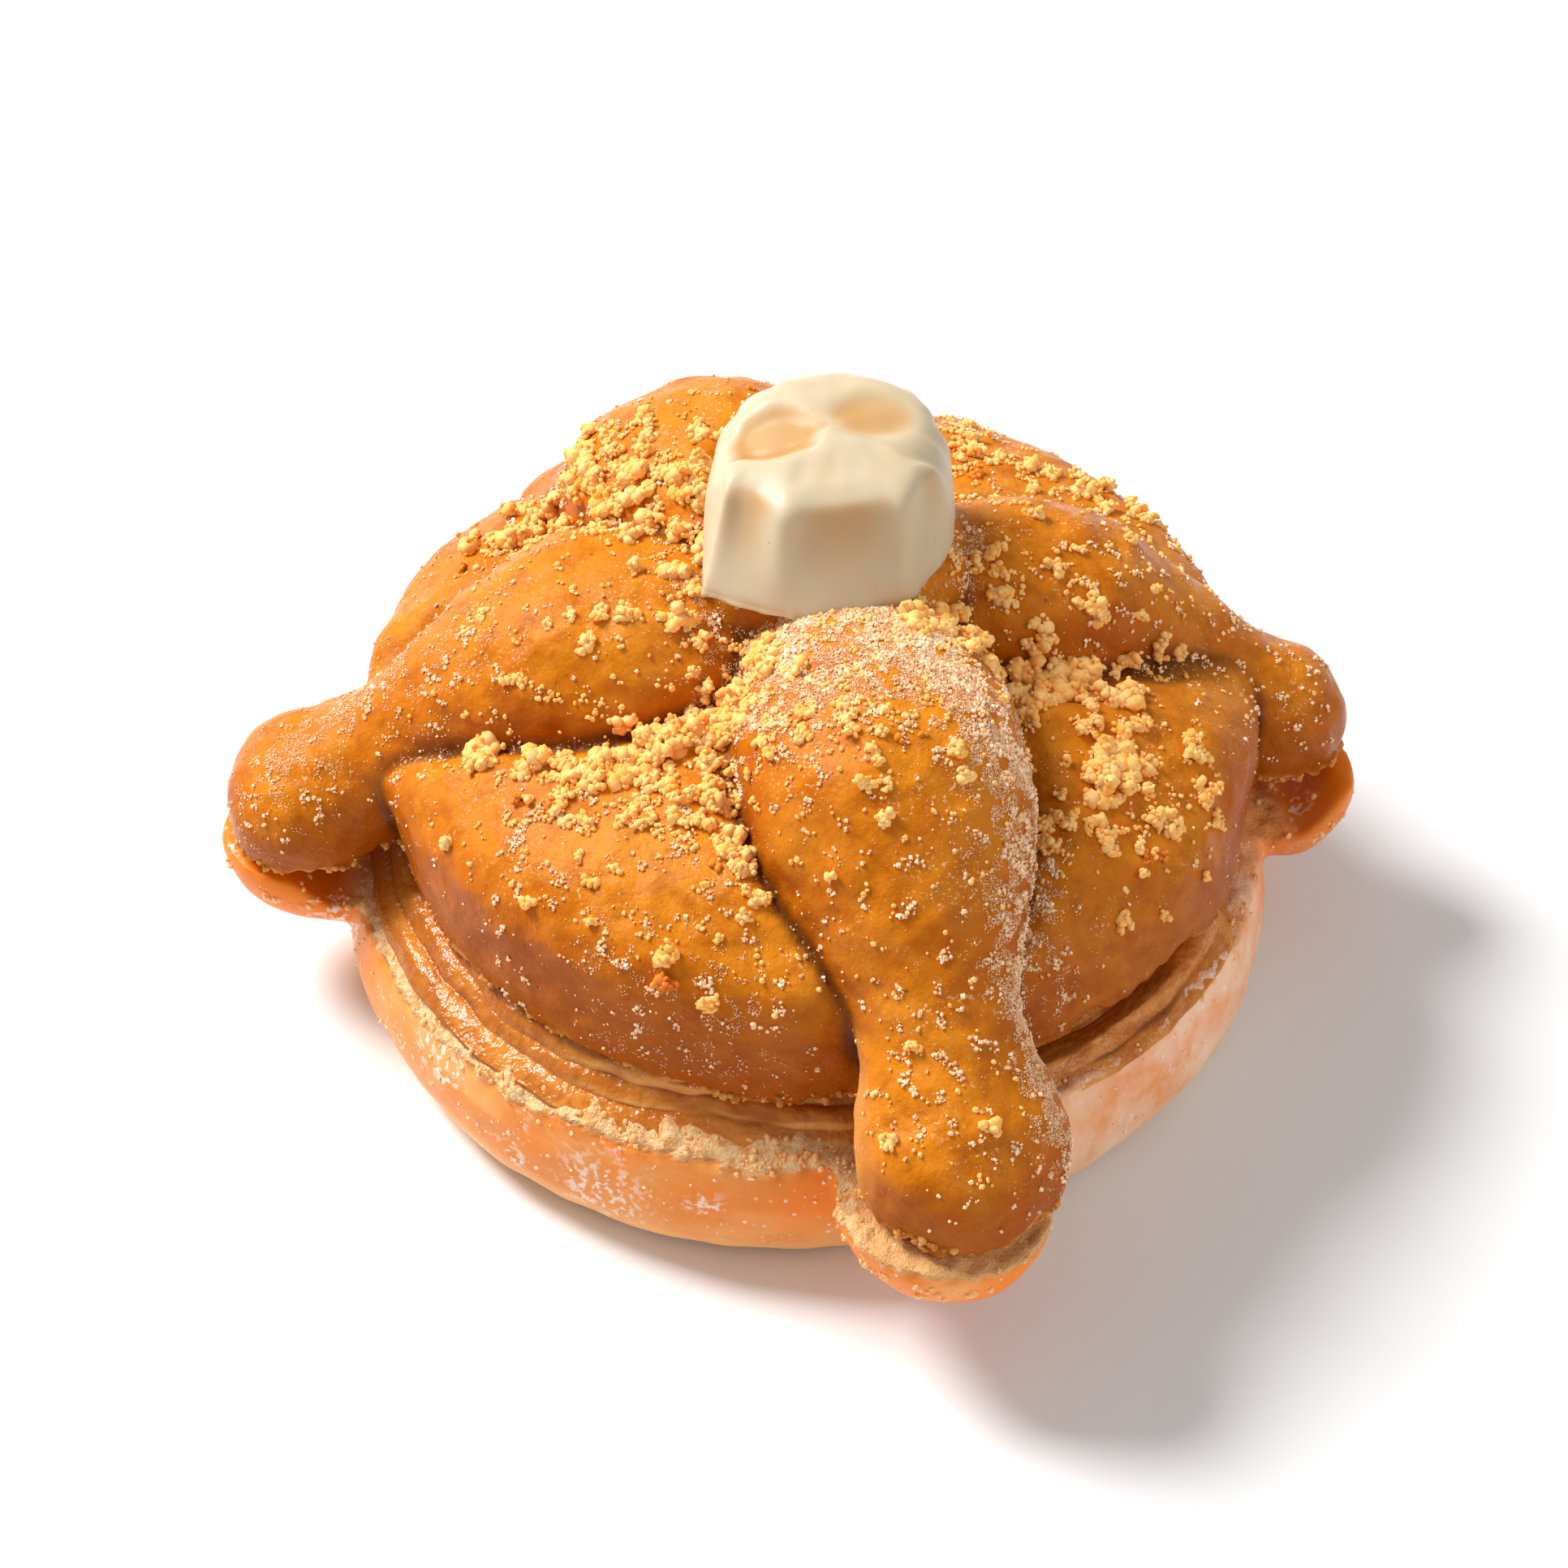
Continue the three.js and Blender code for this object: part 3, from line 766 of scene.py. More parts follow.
# %% [markdown]
# ## The skull
#
# The skull is cast in a shallow mould, so it has a flat back and one modelled side, and it lies on its back
# with the crown away from the front. It starts as a half ball. At the back and the sides it stays round
# like a skull cap. At the front it becomes a wall that leans back under a sharp lip, because the mould has
# no jaw. Hollows and ridges are then pressed into the face and the wall.

# %% The skull's outline
SKULL_DEPTH = 13.5
SKULL_REACH = 14
SKULL_OUTLINE = [
    # the back of the cast, seen from above: round behind, straight on the left, with two sharp front corners
    (14, 0), (12.9, 6.2), (9, 11.6), (2, 14.6), (-5, 13.6), (-11.5, 8.4), (-13.9, 1), (-14.3, -12.4),
    (-14.3, -12.4), (-8, -15.5), (-1.3, -16.9), (4, -16.2), (8.6, -13.9), (8.6, -13.9), (12.9, -5.8), (14, 0),
]
WALL_TOP = 0.76
LIP = 0.12


def outline_table():
    """The outline as angles from the middle, in turn order, and the distance out at each."""
    places = catmull_rom([(x, y, 0) for x, y in SKULL_OUTLINE], 600)[0]
    angles = np.unwrap(np.arctan2(places[:, 1], places[:, 0]))
    return angles, np.linalg.norm(places, axis=1)


OUTLINE_ANGLES, OUTLINE_RADII = outline_table()
print("skull outline from", round(OUTLINE_RADII.min(), 1), "to", round(OUTLINE_RADII.max(), 1), "mm")


def cap_profile(turn, square):
    """Share of the radius and of the depth on the round sides, with a squarer shoulder at the back."""
    rise = turn * math.pi / 2
    power = mix(0.66, 0.44, square)
    return math.cos(rise) ** power, math.sin(rise) ** power


def front_profile(turn):
    """The same at the front: a wall, a tight lip, and a face that rises a little to its middle."""
    if turn < 0.45:
        return 1 - 0.02 * turn, WALL_TOP * turn / 0.45
    if turn < 0.56:
        bend = (turn - 0.45) / 0.11 * math.pi / 2
        return 0.99 - LIP * (1 - math.cos(bend)), WALL_TOP + LIP * math.sin(bend)
    inward = (turn - 0.56) / 0.44
    return (0.99 - LIP) * (1 - inward), WALL_TOP + LIP + (1 - WALL_TOP - LIP) * smooth(inward, -0.3, 1)


# %% [markdown]
# Each form in the face is an oval dip with a soft rim: the two sockets, the nose, the brow, the cheeks and
# the hints of teeth. The forms of the wall are flutes that run down it, with ridges between them. The seam
# of the mould leaves an uneven line round the back.

# %% Hollows and ridges of the skull
FACE_FORMS = [
    # middle, half width, half length, turn in degrees, depth
    ((-6.4, 0.6), 5.0, 4.2, 20, 1.7),
    ((4.3, 3.4), 5.2, 4.0, 12, 1.05),
    ((-2.3, -1.8), 1.1, 0.8, 20, 0.3),
    ((-3.4, -5.8), 0.9, 1.9, 0, 0.12),
    ((0.2, -5.4), 0.9, 1.9, 0, 0.14),
    ((-1.0, 8.4), 3.4, 1.6, 0, 0.3),
    ((-7.2, -9.4), 2.0, 2.8, 0, 0.35),
    ((11.6, -5.2), 2.2, 3.4, 8, 0.25),
]
WALL_FORMS = [
    # place across the wall, half width, depth (below 0 for a ridge)
    (-9.7, 2.4, 2.0),
    (-5.4, 1.4, -0.4),
    (1.6, 6.0, 2.1),
    (8.8, 1.2, -0.6),
    (11.9, 1.8, 1.5),
]


def face_depth(x, y):
    """How deep the mould presses into the face at a place."""
    drop = 0
    for (middle_x, middle_y), wide, long, turn, deep in FACE_FORMS:
        turn = math.radians(turn)
        across = ((x - middle_x) * math.cos(turn) + (y - middle_y) * math.sin(turn)) / wide
        along = ((y - middle_y) * math.cos(turn) - (x - middle_x) * math.sin(turn)) / long
        drop += deep * math.exp(-((across ** 2 + along ** 2) ** 2.4))
    return drop


def skull_form(point):
    """The place of a point of the half ball on the skull, and how deep in a hollow it lies."""
    flat = math.hypot(point.x, point.y)
    angle = math.atan2(point.y, point.x) % math.tau
    front = smooth(-math.sin(angle), 0.2, 0.55)
    turn = math.atan2(point.z, flat) / (math.pi / 2)
    cap = cap_profile(turn ** 1.8, smooth(math.sin(angle), 0.1, 0.9))
    share, height = (mix(a, b, front) for a, b in zip(cap, front_profile(turn)))
    if point.z < 0.001:
        share, height = flat, 0
    reach = share * mix(np.interp(angle, OUTLINE_ANGLES, OUTLINE_RADII), 13.7, 0.55 * front * height)
    x, y = reach * math.cos(angle), reach * math.sin(angle)
    rising = smooth(height, 0, 0.72)
    fluted = sum(deep * math.exp(-(abs((x - place) / wide) ** 3)) for place, wide, deep in WALL_FORMS)
    y += (3.1 * height + rising * fluted) * smooth(-y, -4, 13)
    x *= 1 - 0.08 * height * front
    pressed = smooth(height, 0.6, 0.9) * face_depth(x, y)
    z = height * (SKULL_DEPTH - 0.5 * smooth(y, 4, 14) * smooth(share, 0.4, 1)) - pressed
    mould_line = flat_noise(x, y, 5, 2) * smooth(share, 0.6, 1) * smooth(y, -2, 6)
    mould_line += 0.3 * flat_noise(x, y, 1, 1.3) * (1 - smooth(height, 0.02, 0.12))
    z += 0.2 * flat_noise(x, y, 3, 2.6) * smooth(height, 0.3, 0.7)
    x, y = x * (1 + mould_line / SKULL_REACH), y * (1 + mould_line / SKULL_REACH)
    walled = front * smooth(height, 0, 0.7) * (1 - smooth(height, 0.8, 0.87))
    hollow = 1.5 * pressed + 0.6 * walled * max(0, fluted)
    return (SKULL_MIDDLE + Vector((x, y, SKULL_SEAT + z))) * MM, hollow


def make_skull():
    arc = [(math.cos(turn), math.sin(turn)) for turn in np.linspace(0, math.pi / 2, 90)]
    bm = turned([(0, 0), (0.5, 0), *arc[:-1], (0, 1)], 260)
    hollows = []
    for vertex in bm.verts:
        vertex.co, hollow = skull_form(vertex.co / MM)
        hollows.append(hollow)
    bmesh.ops.recalc_face_normals(bm, faces=bm.faces)
    thing = make_object("chocolate_skull", bm)
    places = points_of(thing.data)
    above_rim = np.clip((places[:, 2:] / MM - SKULL_SEAT) / 3, 0.02, 1)
    set_points(thing.data, mix(places, softened(places, edges_of(thing.data), 12), above_rim))
    give_attribute(thing.data, "hollow", hollows)
    print("skull hollows from", round(min(hollows), 2), "to", round(max(hollows), 2), "mm")
    return thing


skull = make_skull()

# %% [markdown]
# ## Node helpers for the finishes
#
# Every finish is a small node tree. It starts with a ground of two colours in patches, and more colours are
# laid over it, each through a mask. The helpers below add the masks, the colours and the relief, so that a
# finish reads as a short recipe. Colours are given as a screen shows them, from 0 to 255.

# %% Node helpers
def rgb(red, green, blue):
    """A colour from screen values 0 to 255, as the linear light that a shader works in."""
    def linear(value):
        value /= 255
        return value / 12.92 if value <= 0.04045 else ((value + 0.055) / 1.055) ** 2.4
    return (linear(red), linear(green), linear(blue), 1)


class Paint:
    """A material whose colour is built up in layers, with helpers to add and wire nodes."""

    def __init__(self, name):
        self.material = bpy.data.materials.new(name)
        self.material.use_nodes = True
        self.nodes = self.material.node_tree.nodes
        self.links = self.material.node_tree.links
        self.shader = self.nodes["Principled BSDF"]
        self.place = self.nodes.new("ShaderNodeTexCoord").outputs["Object"]

    def wire(self, value, socket):
        if isinstance(value, bpy.types.NodeSocket):
            self.links.new(value, socket)
        else:
            socket.default_value = value

    def shine(self, **values):
        """Sets or wires sockets of the shader, with _ for each space in their names."""
        for name, value in values.items():
            self.wire(value, self.shader.inputs[name.replace("_", " ")])

    def noise(self, size, detail=3.0, rough=0.5, stretch=None, warp=0.0):
        """Patchy noise from 0 to 1 with patches of a size in millimetres."""
        place = self.place
        if stretch:
            mapping = self.nodes.new("ShaderNodeMapping")
            mapping.inputs["Scale"].default_value = stretch
            self.links.new(place, mapping.inputs["Vector"])
            place = mapping.outputs["Vector"]
        node = self.nodes.new("ShaderNodeTexNoise")
        node.inputs["Scale"].default_value = 1 / (size * MM)
        node.inputs["Detail"].default_value = detail
        node.inputs["Roughness"].default_value = rough
        node.inputs["Distortion"].default_value = warp
        self.links.new(place, node.inputs["Vector"])
        return node.outputs["Fac"]

    def cells(self, size):
        """How far a place is from the nearest of many scattered points, in sizes."""
        node = self.nodes.new("ShaderNodeTexVoronoi")
        node.inputs["Scale"].default_value = 1 / (size * MM)
        self.links.new(self.place, node.inputs["Vector"])
        return node.outputs["Distance"]

    def near(self, middle, full, none):
        """1 close to a place and 0 far from it, with both distances in millimetres."""
        away = self.nodes.new("ShaderNodeVectorMath")
        away.operation = "DISTANCE"
        away.inputs[1].default_value = middle
        self.links.new(self.place, away.inputs[0])
        return self.band(away.outputs["Value"], full * MM, none * MM, 1, 0)

    def math(self, operation, first, second):
        node = self.nodes.new("ShaderNodeMath")
        node.operation = operation
        self.wire(first, node.inputs[0])
        self.wire(second, node.inputs[1])
        return node.outputs["Value"]

    def times(self, first, second):
        return self.math("MULTIPLY", first, second)

    def band(self, value, low, high, to_low=0.0, to_high=1.0):
        """Maps value from low..high to to_low..to_high with soft ends."""
        node = self.nodes.new("ShaderNodeMapRange")
        node.interpolation_type = "SMOOTHSTEP"
        self.wire(value, node.inputs["Value"])
        for key, number in (("From Min", low), ("From Max", high), ("To Min", to_low), ("To Max", to_high)):
            node.inputs[key].default_value = number
        return node.outputs["Result"]

    def colour(self, first, second, share):
        node = self.nodes.new("ShaderNodeMix")
        node.data_type = "RGBA"
        self.wire(share, node.inputs["Factor"])
        self.wire(first, node.inputs[6])
        self.wire(second, node.inputs[7])
        return node.outputs[2]

    def ground(self, first, second, share):
        """The lowest layer: a mix of two colours."""
        self.tone = self.colour(rgb(*first), rgb(*second), share)

    def layer(self, tint, mask, amount=1):
        """Lays a colour over the layers below it, as thickly as the mask and the amount say."""
        mask = mask if amount == 1 else self.times(mask, amount)
        tint = rgb(*tint) if isinstance(tint, tuple) else tint
        self.tone = self.colour(self.tone, tint, mask)

    def attribute(self, name):
        node = self.nodes.new("ShaderNodeAttribute")
        node.attribute_name = name
        return node.outputs["Fac"]

    def height(self):
        """Height over the table in metres."""
        node = self.nodes.new("ShaderNodeSeparateXYZ")
        self.links.new(self.place, node.inputs["Vector"])
        return node.outputs["Z"]

    def facing(self, axis):
        """How far the skin faces along an axis: 1 for up on Z, 0 for upright, and below 0 for down."""
        node = self.nodes.new("ShaderNodeSeparateXYZ")
        self.links.new(self.nodes.new("ShaderNodeNewGeometry").outputs["Normal"], node.inputs["Vector"])
        return node.outputs[axis]

    def bump(self, height, depth, strength):
        node = self.nodes.new("ShaderNodeBump")
        node.inputs["Strength"].default_value = strength
        node.inputs["Distance"].default_value = depth * MM
        self.links.new(height, node.inputs["Height"])
        self.links.new(node.outputs["Normal"], self.shader.inputs["Normal"])

    def finished(self):
        self.wire(self.tone, self.shader.inputs["Base Color"])
        return self.material


# %% [markdown]
# ## The glazed crust
#
# The upper crust is brushed with butter after baking, so it is a warm caramel with a satin shine. It is
# patchy, paler where the glaze is thin or rubbed off, and dull along the torn edge. Painted light makes the
# faces that look up lighter and more saturated, and painted shade makes the steep sides and the hollows
# brown. Fine dust and pores break it up from close by.

# %% Glazed crust
BARE_SIDE = LOAF_MIDDLE + Vector((6, -53, 27)) * MM


def glazed_crust():
    paint = Paint("glazed_crust")
    level = paint.facing("Z")
    torn = paint.attribute("torn")
    paint.ground((188, 94, 2), (212, 122, 16), paint.band(paint.noise(24, 3, 0.55, warp=0.4), 0.34, 0.66))
    # Painted light: faces that look up are lighter and more saturated.
    paint.layer((228, 148, 34), paint.band(level, 0.4, 0.95, 0, 0.42))
    mottle = paint.band(paint.noise(3.6, 4, 0.65), 0.4, 0.7)
    paint.layer((164, 76, 1), mottle, 0.6)
    thin_glaze = paint.band(paint.noise(13, 4, 0.6, warp=0.8), 0.5, 0.7)
    paint.layer((206, 130, 40), thin_glaze, 0.42)
    # Painted shade: the steeper a face, the browner it is painted.
    steep = paint.band(level, -0.1, 0.65, 0.65, 0)
    paint.layer((146, 62, 0), steep)
    # Painted shade: the hollows and creases are darkened.
    deep = paint.band(paint.attribute("hollow"), 0.05, 1.0)
    paint.layer((78, 30, 0), deep, 0.9)
    dusty = paint.times(paint.band(paint.noise(7, 3), 0.45, 0.65), paint.band(level, 0.2, 0.8))
    dust = paint.times(dusty, paint.band(paint.noise(0.45, 2, 0.6), 0.58, 0.68))
    paint.layer((250, 204, 146), dust, 0.7)
    pores = paint.times(paint.band(paint.cells(2.6), 0.05, 0.12, 1, 0), paint.band(paint.noise(5), 0.5, 0.6))
    paint.layer((110, 50, 6), pores, 0.7)
    bare = paint.times(paint.band(paint.facing("X"), -0.98, -0.7, 1, 0), paint.near(BARE_SIDE, 4, 14))
    paint.layer((224, 154, 80), bare, 0.8)
    paint.layer((222, 160, 90), torn, 0.8)
    satin = paint.band(paint.noise(6, 4, 0.6), 0.3, 0.7, 0.2, 0.38)
    paint.shine(Roughness=paint.math("MAXIMUM", satin, paint.times(torn, 0.9)), Specular_IOR_Level=0.09,
                Subsurface_Weight=0.08, Subsurface_Scale=1.5 * MM, Subsurface_Radius=(1, 0.45, 0.2))
    fine = paint.math("ADD", paint.noise(1.1, 5, 0.65), paint.times(paint.noise(3.2, 3), 1.5))
    paint.bump(fine, 0.28, 0.85)
    return paint.finished()


finish_piece(upper, glazed_crust(), ["top_half"])

# %% [markdown]
# ## The lower crust
#
# The lower crust lay on the baking tray and against its neighbours. It is matt, orange to pink with a pale
# foot and faint streaks, with flour on it. It ends in a line of torn pale crumb, which is warmer where cream
# has soaked into it, and painted a darker warm orange in its hollows as painted shade.

# %% Lower crust
FLOUR_PATCH = LOAF_MIDDLE + Vector((-25, -50, 9)) * MM
FLOUR_SIDE = LOAF_MIDDLE + Vector((46, -30, 9)) * MM
FRONT_EAR = LOAF_MIDDLE + Vector((18, -64, 18)) * MM
SOAKED_EDGE = LOAF_MIDDLE + Vector((46, -26, 17)) * MM


def torn_crumb_tone(paint):
    patches = paint.band(paint.noise(1.3, 4, 0.7), 0.42, 0.66)
    crumb = paint.colour(rgb(255, 214, 156), rgb(240, 162, 86), patches)
    crumb = paint.colour(crumb, rgb(238, 180, 116), paint.near(FRONT_EAR, 12, 16))
    crumb = paint.colour(crumb, rgb(246, 146, 58), paint.near(SOAKED_EDGE, 26, 44))
    # Painted shade: the crumb is a darker warm orange in its hollows.
    return paint.colour(crumb, rgb(242, 138, 48), paint.band(paint.attribute("hollow"), 0.2, 1.1, 0, 0.8))


def lower_crust():
    paint = Paint("lower_crust")
    height = paint.height()
    torn = paint.attribute("torn")
    browned = paint.attribute("browned")
    streaks = paint.band(paint.noise(7, 4, 0.6, stretch=(0.5, 0.5, 1.6)), 0.35, 0.68)
    paint.ground((232, 138, 58), (242, 166, 92), streaks)
    warm = paint.times(paint.band(paint.noise(16, 3, 0.5), 0.4, 0.6), paint.band(height, 6 * MM, 13 * MM))
    paint.layer((244, 134, 36), warm)
    uneven_height = paint.math("ADD", height, paint.times(paint.noise(9), 6 * MM))
    foot = paint.band(uneven_height, 5 * MM, 11 * MM, 1, 0)
    paint.layer((248, 190, 122), foot, 0.8)
    paint.layer((232, 122, 4), browned)
    paint.layer(torn_crumb_tone(paint), torn)
    haze = paint.times(paint.near(FLOUR_SIDE, 14, 42), paint.band(paint.noise(6, 4, 0.55), 0.15, 0.75))
    paint.layer((255, 228, 204), haze, 0.75)
    dusty = paint.math("MAXIMUM", paint.band(paint.noise(9, 3), 0.54, 0.68), paint.near(FLOUR_PATCH, 2, 9))
    dusty = paint.times(dusty, paint.band(torn, 0, 0.3, 1, 0))
    flour = paint.times(dusty, paint.band(paint.noise(0.9, 4), 0.5, 0.6))
    paint.layer((250, 240, 230), flour, 0.75)
    dots = paint.times(paint.band(paint.cells(1.5), 0.12, 0.2, 1, 0), paint.band(paint.noise(6), 0.4, 0.6))
    dots = paint.times(dots, paint.band(browned, 0, 1, 1, 0))
    paint.layer((252, 236, 220), dots, 0.7)
    paint.shine(Roughness=0.4, Specular_IOR_Level=0.2, Subsurface_Weight=0.08, Subsurface_Scale=1.5 * MM,
                Subsurface_Radius=(1, 0.5, 0.25))
    depth = paint.math("ADD", 0.25, paint.times(torn, 2.4))
    paint.bump(paint.times(paint.noise(1.2, 4, 0.75), depth), 0.45, 0.9)
    return paint.finished()


finish_piece(lower, lower_crust(), ["bottom_half"])

# %% [markdown]
# ## The cream's finish
#
# The cream is a cooked caramel cream: tan, wet and glossy. It is a pool of slightly different tans. Painted
# shade darkens it on the left, in the creases and under the lid, and painted light makes the side that faces
# the front paler. Where the lid gapes, painted shade makes it dark far inside, as no light gets there.

# %% Cream
OPEN_SIDE = LOAF_MIDDLE + Vector((26, -36, 21)) * MM


def cream_paint():
    paint = Paint("cream")
    swirl = paint.band(paint.noise(6, 4, 0.6, stretch=(1, 1, 3), warp=0.6), 0.35, 0.65)
    paint.ground((190, 104, 22), (216, 138, 52), swirl)
    # Painted light: the side that faces the front is paler.
    front = paint.band(paint.facing("Y"), -0.92, -0.7, 0.7, 0)
    paint.layer((242, 170, 84), front)
    # Painted shade: the side that faces left is darker.
    left = paint.band(paint.facing("X"), -0.7, -0.2, 0.8, 0)
    paint.layer((160, 84, 18), left)
    # Painted shade in the creases of the folds.
    fold_shade = paint.band(paint.attribute("hollow"), 0.02, 0.3)
    paint.layer((136, 62, 8), fold_shade, 0.5)
    # Painted shadow of the lid, just under its edge.
    under = paint.band(paint.height(), (LID_CUT - 1.7) * MM, (LID_CUT - 0.6) * MM)
    paint.layer((110, 50, 8), under, 0.3)
    slot = paint.times(paint.band(paint.facing("Z"), 0.8, 0.95), paint.near(OPEN_SIDE, 16, 24))
    paint.layer((104, 44, 4), slot, 0.65)
    paint.shine(Roughness=0.18, Specular_IOR_Level=0.36)
    paint.bump(paint.noise(1.3, 3, 0.5), 0.5, 0.9)
    return paint.finished()


finish_piece(filling, cream_paint(), ["cream_filling"])

# %% [markdown]
# ## White chocolate
#
# White chocolate is cocoa butter and milk. Light goes into it and comes out warmer, which the shader does by
# scattering it inside. Its hollows and the flutes of its wall are painted a darker, more yellow tan, as
# painted shade with the warm cast of light thrown back from the orange bread. A few brown specks of crumb
# stick to it.

# %% White chocolate
def white_chocolate():
    paint = Paint("white_chocolate")
    # Painted shade: the hollows and the flutes of the wall are a darker, more yellow tan.
    deep = paint.band(paint.attribute("hollow"), 0.1, 2.1)
    paint.ground((203, 186, 156), (194, 140, 70), deep)
    faint = paint.band(paint.noise(6, 3), 0.35, 0.65)
    paint.layer((200, 174, 134), faint, 0.35)
    specks = paint.band(paint.cells(4.2), 0.02, 0.05, 1, 0)
    paint.layer((150, 96, 48), specks, 0.6)
    paint.shine(Roughness=0.42, Specular_IOR_Level=0.35, Subsurface_Weight=0.5, Subsurface_Scale=3 * MM,
                Subsurface_Radius=(1, 0.7, 0.4))
    paint.bump(paint.noise(1.5, 3), 0.05, 0.5)
    return paint.finished()


finish_piece(skull, white_chocolate(), ["skull"])

# %% [markdown]
# ## Toppings
#
# Small toppings are real meshes at their true size, one piece for each kind. A grain is made once with an
# operator, and then copied thousands of times into one mesh. Places are drawn from the skin's own
# triangles, so every grain touches the dough, also where the camera doesn't look. A drift is a stroke on
# the loaf, seen from above, where more of a topping landed.

# %% Placing grains
rng = np.random.default_rng(21)


def skin_triangles(thing):
    mesh = thing.data
    mesh.calc_loop_triangles()
    corners = np.empty(len(mesh.loop_triangles) * 3, dtype=np.int32)
    mesh.loop_triangles.foreach_get("vertices", corners)
    triangles = points_of(mesh)[corners.reshape(-1, 3)]
    cross = np.cross(triangles[:, 1] - triangles[:, 0], triangles[:, 2] - triangles[:, 0])
    double_area = np.linalg.norm(cross, axis=1)
    return triangles, cross / np.maximum(double_area, 1e-12)[:, None], double_area


def drawn_places(skin, weight, count):
    """Draws places on a skin, more of them where the weight is larger, with the skin's direction there."""
    triangles, normals, area = skin
    chance = area * weight(triangles.mean(axis=1), normals)
    picked = rng.choice(len(chance), count, p=chance / chance.sum())
    shares = rng.random((count, 2))
    over = shares.sum(axis=1) > 1
    shares[over] = 1 - shares[over]
    first, second, third = triangles[picked].transpose(1, 0, 2)
    return first + shares[:, :1] * (second - first) + shares[:, 1:] * (third - first), normals[picked]


def any_turns(count):
    """Random turns as matrices, from random unit quaternions."""
    quaternions = rng.normal(size=(4, count))
    w, x, y, z = quaternions / np.linalg.norm(quaternions, axis=0)
    rows = [[1 - 2 * (y * y + z * z), 2 * (x * y - w * z), 2 * (x * z + w * y)],
            [2 * (x * y + w * z), 1 - 2 * (x * x + z * z), 2 * (y * z - w * x)],
            [2 * (x * z - w * y), 2 * (y * z + w * x), 1 - 2 * (x * x + y * y)]]
    return np.array(rows).transpose(2, 0, 1)


def grain_shape(make, **settings):
    """One grain, as its points and its triangles."""
    bm = bmesh.new()
    make(bm, **settings)
    bmesh.ops.remove_doubles(bm, verts=bm.verts, dist=0.001)
    bmesh.ops.triangulate(bm, faces=bm.faces)
    points = np.array([vertex.co[:] for vertex in bm.verts])
    faces = np.array([[vertex.index for vertex in face.verts] for face in bm.faces])
    bm.free()
    return points, faces


ROUND_GRAIN = grain_shape(bmesh.ops.create_icosphere, subdivisions=1, radius=1)
SQUARE_GRAIN = grain_shape(bmesh.ops.create_cube, size=1.5)
DUST_GRAIN = grain_shape(bmesh.ops.create_cone, segments=3, radius1=1, radius2=0, depth=1.5, cap_ends=True)
print("faces of one grain:", [len(faces) for _, faces in (ROUND_GRAIN, SQUARE_GRAIN, DUST_GRAIN)])


def heap(name, shape, places, radii, uneven):
    """Copies a grain to every place, each turned and stretched its own way, into one mesh."""
    points, faces = shape
    count = len(places)
    stretch = radii[:, None, None] * (1 + uneven * rng.uniform(-1, 1, (count, 1, 3)))
    turned_points = np.einsum("nij,nvj->nvi", any_turns(count), points[None] * stretch)
    wobble = 1 + 0.4 * uneven * rng.uniform(-1, 1, (count, len(points), 1))
    every_point = (places[:, None] + turned_points * wobble * MM).reshape(-1, 3)
    every_face = (faces[None] + len(points) * np.arange(count)[:, None, None]).reshape(-1, 3)
    mesh = bpy.data.meshes.new(name)
    mesh.from_pydata(every_point.tolist(), [], every_face.tolist())
    thing = bpy.data.objects.new(name, mesh)
    scene.collection.objects.link(thing)
    print(name, count, "grains")
    return thing


def clumpy(places, size, threshold, seed):
    """Says which places lie in the patches of a noise, so that grains gather in little groups."""
    return np.array([bumps(place, size, seed) for place in places]) > threshold


def strewn(drifts, everywhere, holds):
    """Weights a skin by how thickly drifts lie on it, times how well it holds a grain."""
    return lambda at, facing: holds(facing) * (everywhere + drifted(at, drifts))


upper_skin = skin_triangles(upper)
lower_skin = skin_triangles(lower)

# %% [markdown]
# ## Cookie crumbs
#
# Pale yellow cookie crumbs lie in clumps of two to six millimetres, most of them in the valleys between the
# bones. A clump grows: it starts as one grain, and each new grain sticks to one that is already there,
# which gives the ragged knobbly outline of a real crumb.

# %% Cookie crumbs
# Start, end and spread of a drift, how many clumps it has, and their size.
CLUMP_DRIFTS = [
    ((-8, -13), (-20, -19), 2.6, 38, 4.0),
    ((-10, -16), (-9, -24), 2.2, 16, 3.5),
    ((-20, -20), (-31, -19), 2.0, 20, 3.8),
    ((-37, -15), (-36, -15), 0.8, 2, 4.6),
    ((-26, -25), (-9, -24), 4.5, 42, 2.7),
    ((-11, -29), (-6, -36), 1.4, 12, 3.2),
    ((12, -9), (22, -9), 2.8, 30, 3.6),
    ((20, -8), (31, -3), 3.2, 36, 4.0),
    ((33, -5), (34, -17), 2.6, 22, 4.0),
    ((30, -20), (31, -18), 1.8, 5, 3.8),
    ((37, -25), (38, -22), 1.2, 3, 3.8),
    ((43, -16), (42, -10), 1.4, 7, 3.6),
    ((25, -25), (25, -26), 1.0, 2, 4.0),
    ((24, -14), (34, -24), 6.0, 14, 2.8),
    ((28, -30), (36, -26), 5.0, 9, 2.4),
    ((-35, 24), (-14, 8), 4.2, 52, 3.8),
    ((-27, 20), (-12, 16), 5.0, 32, 3.0),
    ((17, 35), (36, 30), 4.0, 30, 2.9),
    ((6, 18), (16, 42), 5.0, 34, 3.2),
    ((-30, -6), (-13, -6), 6.0, 24, 3.1),
    ((16, 2), (34, 6), 5.5, 26, 3.1),
    ((0, -22), (10, -30), 5.0, 14, 2.6),
    ((-17, -42), (-17, -42), 0.6, 1, 3.4),
    ((-12, -46), (-12, -46), 0.6, 1, 3.0),
    ((17, -60), (17, -60), 0.6, 1, 3.0),
    ((-30, -30), (10, -50), 12.0, 14, 2.2),
]


def lying(facing):
    """Crumbs stay on dough that faces up, and roll off what is steep."""
    return np.clip((facing[:, 2] - 0.15) / 0.5, 0, 1)


